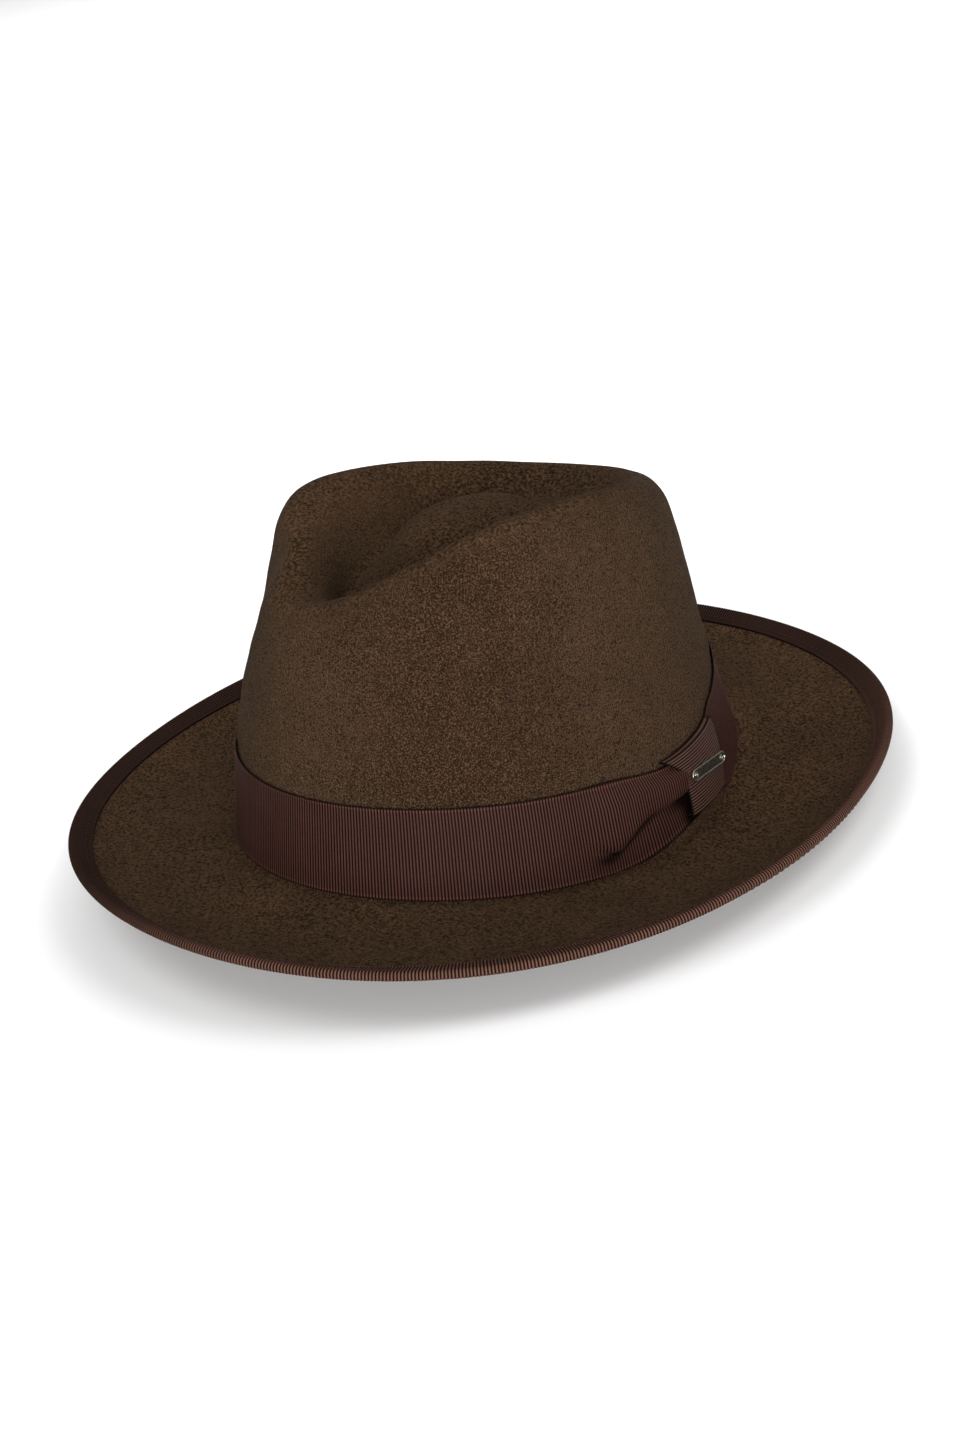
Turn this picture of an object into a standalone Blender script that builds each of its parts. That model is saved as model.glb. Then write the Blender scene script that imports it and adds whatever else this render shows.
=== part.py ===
"""Felt fedora with a teardrop crown, built piece by piece.

The front of the hat faces -Y, the wearer's left is +X and +Z is up.  The plane z = 0 is where the
crown meets the brim.  Every piece follows one felt surface: a net of rings, from the brim's edge in
to the middle of the crown, smoothed by a cubic B-spline.  A place on the hat is (ring, turn), where
ring counts inward along the net and turn is the angle round it: 0 at the front and pi/2 on the
wearer's left.  Ribbons, leather and lining are open surfaces at a set depth under the felt's outer
face (above it where the depth is negative), given their thickness by Solidify.
"""

import functools
import math

import bpy
import numpy as np
from mathutils import Matrix, Vector

# Head opening and band, on the outside of the felt.
HEAD_LENGTH, HEAD_WIDTH, HEAD_EGG = 0.2076, 0.1849, 0.033
BAND_TOP_LENGTH, BAND_TOP_WIDTH = 0.1923, 0.1785
BAND_HEIGHT = 0.0327
BREAK_SADDLE, BREAK_TRIPLE, BREAK_DROP = 0.0074, -0.0017, 0.0010
FELT = 0.0020
GAP = 0.0003

# Brim: the felt's width from the break to the edge, and its slope there and at the edge (radians),
# each as a mean and its change with the first, second and third multiple of the turn.
BRIM = 0.0648
BRIM_INNER_SLOPE = (-0.1425, 0.2248, -0.1392, -0.0479)
BRIM_EDGE_SLOPE = (0.714, -0.153, -0.026, 0.298)
BRIM_CURL_POWER = 1.97
BINDING_WIDTH = 0.0072

# The rim round the top of the crown is a teardrop with its point at the front.
RIM_FRONT, RIM_BACK, RIM_HALF_WIDTH = 0.0675, 0.0827, 0.0634
RIM_PINCH, RIM_PINCH_POWER = 0.048, 8.9
RIM_HEIGHT, RIM_FORWARD_RISE, RIM_SADDLE, RIM_TRIPLE = 0.1236, 0.0121, -0.0070, -0.0018
RIM_LEAN, RIM_TWIST = 0.0048, -0.0008
RIM_POINT_DIP, RIM_POINT_POWER = 0.0202, 2.44
SHOULDER_OUT, SHOULDER_DROP = 0.0105, 0.0085
LIP_IN, LIP_DROP = 0.0138, 0.0100
WALL_BULGE = 0.0007

# Inside the rim a moat runs round an oval bump.
MOAT_FRONT, MOAT_BACK, MOAT_HALF_WIDTH = 0.0500, 0.0460, 0.0400
MOAT_PINCH, MOAT_PINCH_POWER = 0.35, 1.02
MOAT_HEIGHT, MOAT_FORWARD_RISE, MOAT_SADDLE = 0.0912, -0.0070, -0.0013
BUMP_BACK, BUMP_HALF_LENGTH, BUMP_HALF_WIDTH, BUMP_HEIGHT = 0.010, 0.034, 0.031, 0.1118

# A thumb dent on each side of the front.
DENT_TURN, DENT_HEIGHT = 0.72, 0.1055
DENT_SPREAD_TURN, DENT_SPREAD_HEIGHT = 0.3465, 0.0247
DENT_LEFT, DENT_RIGHT = 0.0030, 0.0125
LIP_DENT_SPREAD, LIP_DENT_SHARE = 0.62, 0.6

# Rings of the net: the break and the top of the band.
BREAK, BAND_TOP = 7, 11
BRIM_RINGS = (1.0, 1 - BINDING_WIDTH / BRIM, 0.74, 0.56, 0.37, 0.18, 0.022)
BAND_RINGS = ((0.0025, 0.07), (0.36 * BAND_HEIGHT, 0.36), (0.68 * BAND_HEIGHT, 0.68), (BAND_HEIGHT, 1.0))
BAND_FOOT = 7.45
COLUMNS = 36
FELT_ROWS = (0, 0.5, 1, 2, 3.5, 5, 6, 6.6, 7.0, BAND_FOOT, 8, 9, 10, 11, 11.35, 12, 13, 14,
             14.5, 15, 15.6, 16.2, 17, 18, 19, 20, 21)

# Thickness of ribbon, leather, satin and thread.
RIBBON = 0.0007
LEATHER = 0.0008
SATIN = 0.0004
THREAD = 0.0003
BINDING_STITCH_RING = 0.7

# Inside: the sweatband stands round the head opening with its foot rolled on a reed.
SWEATBAND_FOOT, SWEATBAND_HEIGHT = 8, 0.045
SWEATBAND_DEPTH = FELT + 3 * GAP + SATIN
LEATHER_FACE = SWEATBAND_DEPTH + LEATHER
REED_RADIUS = 0.0010
STITCH_HEIGHT, SEAM_HEIGHTS = 0.0085, (0.0240, 0.0430)
SEAM_BOW_HEIGHT, SEAM_BOW_HALF_TURN = 0.0165, 9
SEAM_BOW_WAIST, SEAM_BOW_FLARE = 0.0016, 0.0034
LABEL_HEIGHTS, LABEL_TURNS = (0.016, 0.036), (152, 160)
LINING_RINGS = (10, 11, 11.35, 12, 13, 14)
LINING_LOOSE = (0.0003, 0.0003, 0.0003, 0.0005, 0.0010, 0.0014)
TIP_RINGS = (15.6, 16.2, 17, 18, 19, 20, 21)
TIP_LOOSE = 0.0020
PIPING_RING, PIPING_RADIUS, PIPING_LOOSE = 14.5, 0.0007, 0.0009

# Outside, over the band on the wearer's left: each ply lies on the one before.
PLY_LIFT = 2 * (GAP + RIBBON)
FOLD_LIFT = 3 * (GAP + RIBBON)
KNOT_LIFT = 4 * (GAP + RIBBON) + 0.0006
FOLD_TURNS, FOLD_TOPS = (79, 103.5), (0.0352, 0.0302)
CREASE_HEIGHTS, CREASE_TURN, CREASE_SPAN = (0.0070, 0.0178), 81, 13
PLY_TURNS, PLY_TUCK = (84.5, 103.5), 0.003
FOOT_HEIGHTS, FOOT_TURN, FOOT_SPAN = (0.0035, 0.0065), 95, 10
KNOT_TURNS, KNOT_HEIGHTS = (104, 119.5), (0.0075, 0.0340)
KNOT_FLARE, KNOT_SIDE_DROP, KNOT_END_DROP = 4.0, 0.0004, 0.0016
PLATE_LENGTH, PLATE_WIDTH, PLATE_THICKNESS = 0.0236, 0.0048, 0.0008
PLATE_HEIGHT, PLATE_TURN, PLATE_TILT, PLATE_GAP = 0.0216, 111.9, -10.7, 0.0005
PIN_RADIUS, PIN_HOLE, PIN_OFFSET = 0.0005, 0.0008, 0.0096
TACK_TURNS = {"band_tack_front": 12, "band_tack_right": 262, "band_tack_back": 186}
TACK_RUN, TACK_RADIUS = ((0.0345, 0.0016), (0.0366, 0.0016), (0.0373, 0.0006)), 0.0002


def waves(terms, turn):
    """A mean and its changes with the first, second and third multiple of the turn."""
    return sum(term * np.cos(order * turn) for order, term in enumerate(terms))


def oval(length, width, turn):
    """A head's oval, a little wider behind than in front."""
    half_width = width / 2 * (1 - HEAD_EGG * np.cos(turn))
    return np.stack([half_width * np.sin(turn), -length / 2 * np.cos(turn)], -1)


def teardrop(front, back, half_width, pinch, power, turn):
    """An oval whose front half narrows towards a rounded point."""
    reach = np.where(np.cos(turn) > 0, front, back)
    narrow = 1 - pinch * ((1 + np.cos(turn)) / 2) ** power
    return np.stack([half_width * narrow * np.sin(turn), -reach * np.cos(turn)], -1)


def outward(outline, turn):
    """Unit normal of a plan outline, which is a function of the turn."""
    step = 1e-3
    along = outline(turn + step) - outline(turn - step)
    normal = np.stack([along[:, 1], -along[:, 0]], -1)
    return normal / np.linalg.norm(normal, axis=1)[:, None]


def head(turn):
    return oval(HEAD_LENGTH, HEAD_WIDTH, turn)


def band_top(turn):
    return oval(BAND_TOP_LENGTH, BAND_TOP_WIDTH, turn)


def rim(turn):
    return teardrop(RIM_FRONT, RIM_BACK, RIM_HALF_WIDTH, RIM_PINCH, RIM_PINCH_POWER, turn)


def moat(turn):
    return teardrop(MOAT_FRONT, MOAT_BACK, MOAT_HALF_WIDTH, MOAT_PINCH, MOAT_PINCH_POWER, turn)


def break_height(turn):
    return BREAK_SADDLE * np.cos(2 * turn) + BREAK_TRIPLE * np.cos(3 * turn)


def place(plan, height):
    return np.concatenate([plan, np.broadcast_to(height, len(plan))[:, None]], axis=1)


def brim_ring(part, turn, steps=24):
    """The ring at this part of the brim's width, found by following the slope out from the break."""
    inner, edge = waves(BRIM_INNER_SLOPE, turn), waves(BRIM_EDGE_SLOPE, turn)
    at = (np.arange(steps) + 0.5) / steps * part
    slope = inner[:, None] + (edge - inner)[:, None] * at[None] ** BRIM_CURL_POWER
    out = np.cos(slope).sum(1) * BRIM * part / steps
    up = np.sin(slope).sum(1) * BRIM * part / steps
    return place(head(turn) + outward(head, turn) * out[:, None], break_height(turn) + up)


def dented(outline, height, turn):
    """The outline pushed in by the two thumb dents."""
    normal = outward(outline, turn)
    push = 0
    for side, depth in ((1, DENT_LEFT), (-1, DENT_RIGHT)):
        away = np.angle(np.exp(1j * (turn - side * DENT_TURN)))
        push = push + depth * np.exp(-((away / DENT_SPREAD_TURN) ** 2))
    push = push * np.exp(-(((height - DENT_HEIGHT) / DENT_SPREAD_HEIGHT) ** 2))
    return place(outline(turn) - normal * push[:, None], height)


def crown_rings(turn):
    foot = break_height(turn)
    rim_height = waves((RIM_HEIGHT, RIM_FORWARD_RISE, RIM_SADDLE, RIM_TRIPLE), turn)
    rim_height = rim_height + RIM_LEAN * np.sin(turn) + RIM_TWIST * np.sin(2 * turn)
    rim_height = rim_height - RIM_POINT_DIP * ((1 + np.cos(turn)) / 2) ** RIM_POINT_POWER

    def shoulder(at):
        return rim(at) + outward(rim, at) * SHOULDER_OUT

    def lip(at):
        return rim(at) - outward(rim, at) * LIP_IN

    rings = [place(head(turn), foot - BREAK_DROP)]
    for height, share in BAND_RINGS:
        rings.append(place(head(turn) * (1 - share) + band_top(turn) * share, foot + height))
    for share in (0.36, 0.70):
        def wall(at, share=share):
            flat = band_top(at) * (1 - share) + shoulder(at) * share
            return flat + outward(head, at) * WALL_BULGE * 4 * share * (1 - share)
        height = (foot + BAND_HEIGHT) * (1 - share) + (rim_height - SHOULDER_DROP) * share
        rings.append(dented(wall, height, turn))
    rings.append(dented(shoulder, rim_height - SHOULDER_DROP, turn))
    rings.append(dented(rim, rim_height, turn))
    away = np.angle(np.exp(1j * (turn + DENT_TURN)))
    dent = LIP_DENT_SHARE * DENT_RIGHT * np.exp(-((away / LIP_DENT_SPREAD) ** 2))
    inner = place(lip(turn) - outward(lip, turn) * dent[:, None], rim_height - LIP_DROP)
    rings.append(inner)
    low = waves((MOAT_HEIGHT, MOAT_FORWARD_RISE, MOAT_SADDLE), turn)
    rings.append(inner * (0.45, 0.45, 0.4) + place(moat(turn) * 0.55, low * 0.6))
    rings.append(place(moat(turn), low))
    for size, rise in ((1.0, 0.45), (0.66, 0.95), (0.2, 1.0)):
        across, back = BUMP_HALF_WIDTH * size * np.sin(turn), BUMP_HALF_LENGTH * size * np.cos(turn)
        bump = np.stack([across, BUMP_BACK - back], -1)
        rings.append(place(bump, low * (1 - rise) + BUMP_HEIGHT * rise))
    return rings


def net(turn):
    brim = [brim_ring(part, turn) for part in BRIM_RINGS]
    return np.array(brim + crown_rings(turn))


def spline(points, ring):
    """Cubic B-spline across the rings of the net, running straight on past its two ends."""
    points = np.concatenate([2 * points[:1] - points[1:2], points, 2 * points[-1:] - points[-2:-1]])
    first = min(int(ring), len(points) - 4)
    f = ring - first
    weights = ((1 - f) ** 3, 3 * f**3 - 6 * f**2 + 4, -3 * f**3 + 3 * f**2 + 3 * f + 1, f**3)
    return sum(w * points[first + k] for k, w in enumerate(weights)) / 6


def felt(ring, turn, depth=0.0):
    """Points at one ring and many turns, this depth under the felt's outer face."""
    step = 1e-3
    here = net(turn)
    point = spline(here, ring)
    along = spline(net(turn + step), ring) - spline(net(turn - step), ring)
    across = spline(here, ring + step) - spline(here, ring - step)
    normal = np.cross(along, across)
    normal /= np.linalg.norm(normal, axis=1)[:, None]
    return point - normal * np.reshape(depth, (-1, 1))


def full_turn(columns=COLUMNS):
    """Turns round the whole hat, closer together at the pinched front."""
    even = np.arange(columns) / columns * 2 * math.pi
    return even - 0.25 * np.sin(even)


@functools.lru_cache
def wall_heights():
    """Rings of the wall and their heights above the break, at the wearer's left."""
    rings = np.linspace(BREAK, 13, 61)
    side = np.array([math.pi / 2])
    return rings, np.array([felt(ring, side)[0, 2] for ring in rings]) - break_height(side)[0]


def ring_at(height):
    """The ring of the wall at this height above the break."""
    rings, heights = wall_heights()
    return float(np.interp(height, heights, rings))


def inward_at(turn):
    return place(-outward(head, turn), 0.0)


def new_collection(name):
    collection = bpy.data.collections.new(name)
    bpy.context.scene.collection.children.link(collection)
    return collection


def clear_scene():
    for thing in list(bpy.data.objects):
        bpy.data.objects.remove(thing)


def material(name, colour, roughness, metallic=0.0):
    made = bpy.data.materials.new(name)
    made.use_nodes = True
    shader = made.node_tree.nodes["Principled BSDF"]
    shader.inputs["Base Color"].default_value = (*colour, 1)
    shader.inputs["Roughness"].default_value = roughness
    shader.inputs["Metallic"].default_value = metallic
    return made


def add(name, mesh, look, collection):
    piece = bpy.data.objects.new(name, mesh)
    mesh.materials.append(look)
    collection.objects.link(piece)
    return piece


def loft(rows, closed, pole=False):
    """A mesh through rows of points; closed joins each row's ends, pole fans the last row shut."""
    count = len(rows[0])
    points = [tuple(p) for row in rows for p in row]
    faces = []
    for r in range(len(rows) - 1):
        for c in range(count if closed else count - 1):
            a, b = r * count + c, r * count + (c + 1) % count
            faces.append((a, b, b + count, a + count))
    if pole:
        points.append(tuple(np.mean(rows[-1], axis=0)))
        last = (len(rows) - 1) * count
        faces += [(last + c, last + (c + 1) % count, len(points) - 1) for c in range(count)]
    mesh = bpy.data.meshes.new("loft")
    mesh.from_pydata(points, [], faces)
    mesh.shade_smooth()
    return mesh


def shell(name, rows, thickness, look, collection, closed=True, pole=False):
    """A sheet through the rows, thickened away from the side that its faces look to."""
    piece = add(name, loft(rows, closed, pole), look, collection)
    solid = piece.modifiers.new("Solidify", "SOLIDIFY")
    solid.thickness = thickness
    solid.offset = -1
    solid.use_even_offset = True
    return piece


def thread(name, points, radius, look, collection, cyclic=True):
    """A round tube along the points."""
    curve = bpy.data.curves.new(name, "CURVE")
    curve.dimensions = "3D"
    curve.bevel_depth = radius
    curve.bevel_resolution = 0
    curve.use_fill_caps = True
    run = curve.splines.new("POLY")
    run.points.add(len(points) - 1)
    for spot, point in zip(run.points, points):
        spot.co = (*point, 1)
    run.use_cyclic_u = cyclic
    curve.materials.append(look)
    piece = bpy.data.objects.new(name, curve)
    collection.objects.link(piece)
    return piece


def rows_between(first, last):
    """The felt's own rows in this range, with the two ends added, so that chords run side by side."""
    inside = [ring for ring in FELT_ROWS if first < ring < last]
    return [first, *inside, last]


def felt_body(parts, look):
    rows = [felt(ring, full_turn()) for ring in FELT_ROWS]
    return shell("felt_body", rows, FELT, look, parts, pole=True)


def brim_binding(parts, look):
    """Ribbon folded round the brim's edge: over the top face, round the edge, under the bottom."""
    turn = full_turn()
    top = [felt(ring, turn, -GAP) for ring in (1, 0.5, 0)]
    under = [felt(ring, turn, FELT + GAP) for ring in (0, 0.5, 1)]
    middle = (top[-1] + under[0]) / 2
    up = (top[-1] - under[0]) / 2
    radius = np.linalg.norm(up, axis=1)[:, None]
    out = felt(0, turn) - felt(0.1, turn)
    out *= radius / np.linalg.norm(out, axis=1)[:, None]
    clear = out * (GAP / radius)
    fold = [middle + clear + up * math.cos(a) + out * math.sin(a) for a in np.radians((30, 60, 90, 120, 150))]
    return shell("brim_binding", top + fold + under, RIBBON, look, parts)


def lifted(ring, turn, lift):
    """A place on the outside of the hat, this high over the felt."""
    return felt(ring, turn, -np.asarray(lift, float))


def hat_band(parts, look):
    rows = [lifted(ring, full_turn(), GAP + RIBBON) for ring in rows_between(BAND_FOOT, BAND_TOP)]
    return shell("hat_band", rows, RIBBON, look, parts)


def patch(name, heights, turns, lifts, thickness, look, collection):
    """A four-sided sheet on the wall, from grids of height, turn in degrees and lift of its outer face."""
    turns = np.radians(turns)
    rows = []
    for height_row, turn_row, lift_row in zip(heights, turns, lifts):
        spots = zip(height_row, turn_row, lift_row)
        rows.append(np.array([lifted(ring_at(h), np.array([t]), up)[0] for h, t, up in spots]))
    return shell(name, rows, thickness, look, collection, closed=False)


def grid(rows, columns, value):
    """value(v, u) at evenly spaced v up the rows and u along the columns, both from 0 to 1."""
    return np.array([[value(v, u) for u in np.linspace(0, 1, columns)] for v in np.linspace(0, 1, rows)])


def ease(x):
    x = min(max(x, 0.0), 1.0)
    return x * x * (3 - 2 * x)


def mix(ends, share):
    """The value this share of the way from the first end to the second."""
    return ends[0] + (ends[1] - ends[0]) * share


def crease_height(turn):
    """Lower edge of the pleat's upper fold: it climbs from the band's foot to the knot."""
    return mix(CREASE_HEIGHTS, ease((turn - CREASE_TURN) / CREASE_SPAN))


def foot_height(turn):
    """Lower edge of the gathered ribbon, which lifts a little at the knot."""
    return mix(FOOT_HEIGHTS, ease((turn - FOOT_TURN) / FOOT_SPAN))


def band_pleat(parts, look):
    """The ribbon's two plies where it is gathered into the knot."""
    def fold_turn(v, u):
        return mix(FOLD_TURNS, u)

    def fold_height(v, u):
        low = crease_height(fold_turn(v, u))
        return mix((low, mix(FOLD_TOPS, u)), v)

    def fold_lift(v, u):
        return mix((PLY_LIFT, FOLD_LIFT), ease(u / 0.2))

    def ply_turn(v, u):
        return mix(PLY_TURNS, u)

    def ply_height(v, u):
        low = foot_height(ply_turn(v, u))
        return mix((low, crease_height(ply_turn(v, u)) + PLY_TUCK), v)

    flat = grid(3, 9, lambda v, u: PLY_LIFT)
    patch("band_pleat_upper", grid(5, 11, fold_height), grid(5, 11, fold_turn), grid(5, 11, fold_lift),
          RIBBON, look, parts)
    patch("band_pleat_lower", grid(3, 9, ply_height), grid(3, 9, ply_turn), flat, RIBBON, look, parts)


def bow_knot(parts, look):
    """The short ribbon wrapped over the gathers: flat in the middle, its ends rolled in."""
    def height(v, u):
        return mix(KNOT_HEIGHTS, v)

    def turn(v, u):
        flare = KNOT_FLARE * ease((v - 0.7) / 0.3)
        return mix(KNOT_TURNS, u) - flare * (1 - u)

    def lift(v, u):
        side = abs(2 * u - 1) ** 4
        end = abs(2 * v - 1) ** 6
        return KNOT_LIFT - KNOT_SIDE_DROP * side - KNOT_END_DROP * end

    patch("bow_knot", grid(11, 7, height), grid(11, 7, turn), grid(11, 7, lift), RIBBON, look, parts)


def wall_frame(height, turn, lift):
    """A place on the wall with x along the ribbon, y up it and z out of it."""
    ring, step = ring_at(height), 1e-3
    here = lifted(ring, np.array([turn]), lift)[0]
    along = Vector(lifted(ring, np.array([turn + step]), lift)[0] - here).normalized()
    up = Vector(lifted(ring + step, np.array([turn]), lift)[0] - here)
    out = along.cross(up).normalized()
    axes = Matrix((along, out.cross(along), out)).transposed()
    return Matrix.Translation(Vector(here)) @ axes.to_4x4()


def circle(curve, centre, radius, sides=12):
    ring = curve.splines.new("POLY")
    ring.points.add(sides - 1)
    for spot, angle in zip(ring.points, np.arange(sides) / sides * 2 * math.pi):
        spot.co = (centre + radius * math.cos(angle), radius * math.sin(angle), 0, 1)
    ring.use_cyclic_u = True


def name_plate(parts, metal):
    """A plain metal plate on the knot, rounded at both ends, with a pin through each."""
    curve = bpy.data.curves.new("name_plate", "CURVE")
    curve.dimensions = "2D"
    curve.fill_mode = "BOTH"
    curve.extrude = PLATE_THICKNESS / 2
    outline = curve.splines.new("POLY")
    radius, straight = PLATE_WIDTH / 2, PLATE_LENGTH / 2 - PLATE_WIDTH / 2
    angles = np.radians(np.arange(-90, 91, 22.5))
    ends = [(straight + radius * math.cos(a), radius * math.sin(a)) for a in angles]
    ends += [(-x, -y) for x, y in ends]
    outline.points.add(len(ends) - 1)
    for spot, (x, y) in zip(outline.points, ends):
        spot.co = (x, y, 0, 1)
    outline.use_cyclic_u = True
    for side in (-1, 1):
        circle(curve, side * PIN_OFFSET, PIN_HOLE)
    curve.materials.append(metal)
    plate = bpy.data.objects.new("name_plate", curve)
    parts.objects.link(plate)
    lift = KNOT_LIFT + PLATE_THICKNESS / 2 + PLATE_GAP
    spot = wall_frame(PLATE_HEIGHT, math.radians(PLATE_TURN), lift)
    plate.matrix_world = spot @ Matrix.Rotation(math.radians(PLATE_TILT), 4, "Z")
    for name, side in (("plate_pin_front", -1), ("plate_pin_rear", 1)):
        bpy.ops.mesh.primitive_cylinder_add(vertices=12, radius=PIN_RADIUS, depth=PLATE_THICKNESS * 1.2)
        pin = bpy.context.object
        pin.name = name
        pin.matrix_world = plate.matrix_world @ Matrix.Translation((side * PIN_OFFSET, 0, 0))
        pin.data.materials.append(metal)
        for owner in list(pin.users_collection):
            owner.objects.unlink(pin)
        parts.objects.link(pin)


def sweatband(parts, look):
    """A leather strip inside the head opening, its foot rolled round the reed."""
    turn = full_turn()
    top = ring_at(SWEATBAND_HEIGHT)
    leaf = [felt(ring, turn, SWEATBAND_DEPTH) for ring in rows_between(SWEATBAND_FOOT, top)]
    radius = REED_RADIUS + GAP + LEATHER
    inward = inward_at(turn)
    roll = []
    for angle in np.radians((210, 180, 150, 120, 90, 60, 30)):
        down = np.array([0, 0, -math.sin(angle)])
        roll.append(reed_line(turn) + radius * (down - inward * math.cos(angle)))
    return shell("sweatband", roll + leaf, LEATHER, look, parts)


def reed_line(turn):
    foot = felt(SWEATBAND_FOOT, turn, SWEATBAND_DEPTH)
    return foot + inward_at(turn) * (REED_RADIUS + GAP + LEATHER)


def lining(parts, satin, cord):
    """Satin wall from behind the sweatband to the rim, satin tip, and the piping between them."""
    turn = full_turn()
    sides = [felt(ring, turn, FELT + loose) for ring, loose in zip(LINING_RINGS, LINING_LOOSE)]
    shell("lining_side", sides, SATIN, satin, parts)
    tip = [felt(ring, turn, FELT + TIP_LOOSE) for ring in TIP_RINGS]
    shell("lining_tip", tip, SATIN, satin, parts, pole=True)
    depth = FELT + PIPING_LOOSE + PIPING_RADIUS
    thread("lining_piping", felt(PIPING_RING, turn, depth), PIPING_RADIUS, cord, parts)


def inside_patch(name, heights, turns, depth, thickness, look, collection):
    """A four-sided sheet on the inner face of the sweatband, depth being its own outer face."""
    return patch(name, heights, turns, np.full(np.shape(heights), -depth), thickness, look, collection)


def sweatband_trim(parts, ribbon, label, cord):
    """What is sewn to the leather: its back seam, a small bow over the seam, and a blank size label."""
    turn = full_turn()
    stitch_depth = LEATHER_FACE + 2 * GAP + THREAD
    line = felt(ring_at(STITCH_HEIGHT), turn, stitch_depth)
    thread("sweatband_stitching", line, THREAD, cord, parts)
    seam = [felt(ring_at(h), np.array([math.pi]), stitch_depth)[0] for h in np.linspace(*SEAM_HEIGHTS, 9)]
    thread("sweatband_seam", seam, THREAD, cord, parts, cyclic=False)

    def bow_turn(v, u):
        return 180 + SEAM_BOW_HALF_TURN * (2 * u - 1)

    def bow_height(v, u):
        spread = SEAM_BOW_WAIST + SEAM_BOW_FLARE * abs(2 * u - 1) ** 0.7
        return SEAM_BOW_HEIGHT + spread * (2 * v - 1)

    depth = LEATHER_FACE + 3 * GAP
    inside_patch("sweatband_bow", grid(3, 9, bow_height), grid(3, 9, bow_turn), depth, 2 * RIBBON, ribbon, parts)
    label_height = grid(3, 5, lambda v, u: mix(LABEL_HEIGHTS, v))
    label_turn = grid(3, 5, lambda v, u: mix(LABEL_TURNS, u))
    inside_patch("size_label", label_height, label_turn, depth, SATIN, label, parts)



def band_tacks(parts, cord):
    """Short stitches over the ribbon's top edge that hold the band to the felt."""
    for name, turn in TACK_TURNS.items():
        at = np.array([math.radians(turn)])
        run = [lifted(ring_at(height), at, lift)[0] for height, lift in TACK_RUN]
        thread(name, run, TACK_RADIUS, cord, parts, cyclic=False)


def build():
    clear_scene()
    parts = new_collection("felt_fedora")
    brown_felt = material("brown_felt", (0.058, 0.034, 0.018), 0.95)
    grosgrain = material("grosgrain", (0.044, 0.020, 0.016), 0.7)
    metal = material("pewter", (0.18, 0.16, 0.14), 0.35, 1.0)
    leather = material("leather", (0.09, 0.045, 0.022), 0.5)
    satin = material("satin", (0.12, 0.07, 0.04), 0.35)
    cord = material("cord", (0.03, 0.016, 0.012), 0.8)
    turn = full_turn()
    felt_body(parts, brown_felt)
    brim_binding(parts, grosgrain)
    over = GAP + RIBBON + GAP + THREAD
    thread("binding_stitch_top", felt(BINDING_STITCH_RING, turn, -over), THREAD, cord, parts)
    thread("binding_stitch_under", felt(BINDING_STITCH_RING, turn, FELT + over), THREAD, cord, parts)
    hat_band(parts, grosgrain)
    band_pleat(parts, grosgrain)
    bow_knot(parts, grosgrain)
    name_plate(parts, metal)
    band_tacks(parts, cord)
    sweatband(parts, leather)
    thread("sweatband_reed", reed_line(turn), REED_RADIUS, cord, parts)
    sweatband_trim(parts, grosgrain, satin, cord)
    lining(parts, satin, cord)


build()
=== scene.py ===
"""Looks of the felt fedora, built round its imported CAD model.

The front of the hat faces -Y, the wearer's left is +X and +Z is up.  The felt's outer face is the
same surface as in the CAD part: a net of rings from the brim's edge in to the middle of the crown,
smoothed by a cubic B-spline.  A place on the hat is (ring, turn), or (height above the break, turn)
on the wall, with turn 0 at the front and pi/2 on the wearer's left.  Lengths are in metres.
"""

import functools
import math

import bpy
import numpy as np
from mathutils import Matrix, Vector


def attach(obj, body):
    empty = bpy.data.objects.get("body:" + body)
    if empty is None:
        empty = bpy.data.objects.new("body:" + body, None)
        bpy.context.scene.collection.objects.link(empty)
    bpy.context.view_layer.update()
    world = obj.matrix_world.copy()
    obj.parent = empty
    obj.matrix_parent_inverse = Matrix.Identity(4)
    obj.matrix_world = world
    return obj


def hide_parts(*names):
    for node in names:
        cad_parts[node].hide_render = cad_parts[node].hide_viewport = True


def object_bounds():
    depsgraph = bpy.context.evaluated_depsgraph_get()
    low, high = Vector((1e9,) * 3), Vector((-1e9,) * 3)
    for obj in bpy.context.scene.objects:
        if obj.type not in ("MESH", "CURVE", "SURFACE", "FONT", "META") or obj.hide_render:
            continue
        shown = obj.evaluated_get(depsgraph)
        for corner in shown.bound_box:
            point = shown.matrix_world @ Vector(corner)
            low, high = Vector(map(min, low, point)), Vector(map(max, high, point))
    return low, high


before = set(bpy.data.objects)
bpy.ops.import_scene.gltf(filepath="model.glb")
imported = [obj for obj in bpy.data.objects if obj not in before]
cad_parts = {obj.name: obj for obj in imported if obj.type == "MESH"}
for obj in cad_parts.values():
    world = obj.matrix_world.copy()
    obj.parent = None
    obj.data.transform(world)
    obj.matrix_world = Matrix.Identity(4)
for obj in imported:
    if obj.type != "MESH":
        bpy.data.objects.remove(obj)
CAD_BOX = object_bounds()

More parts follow.
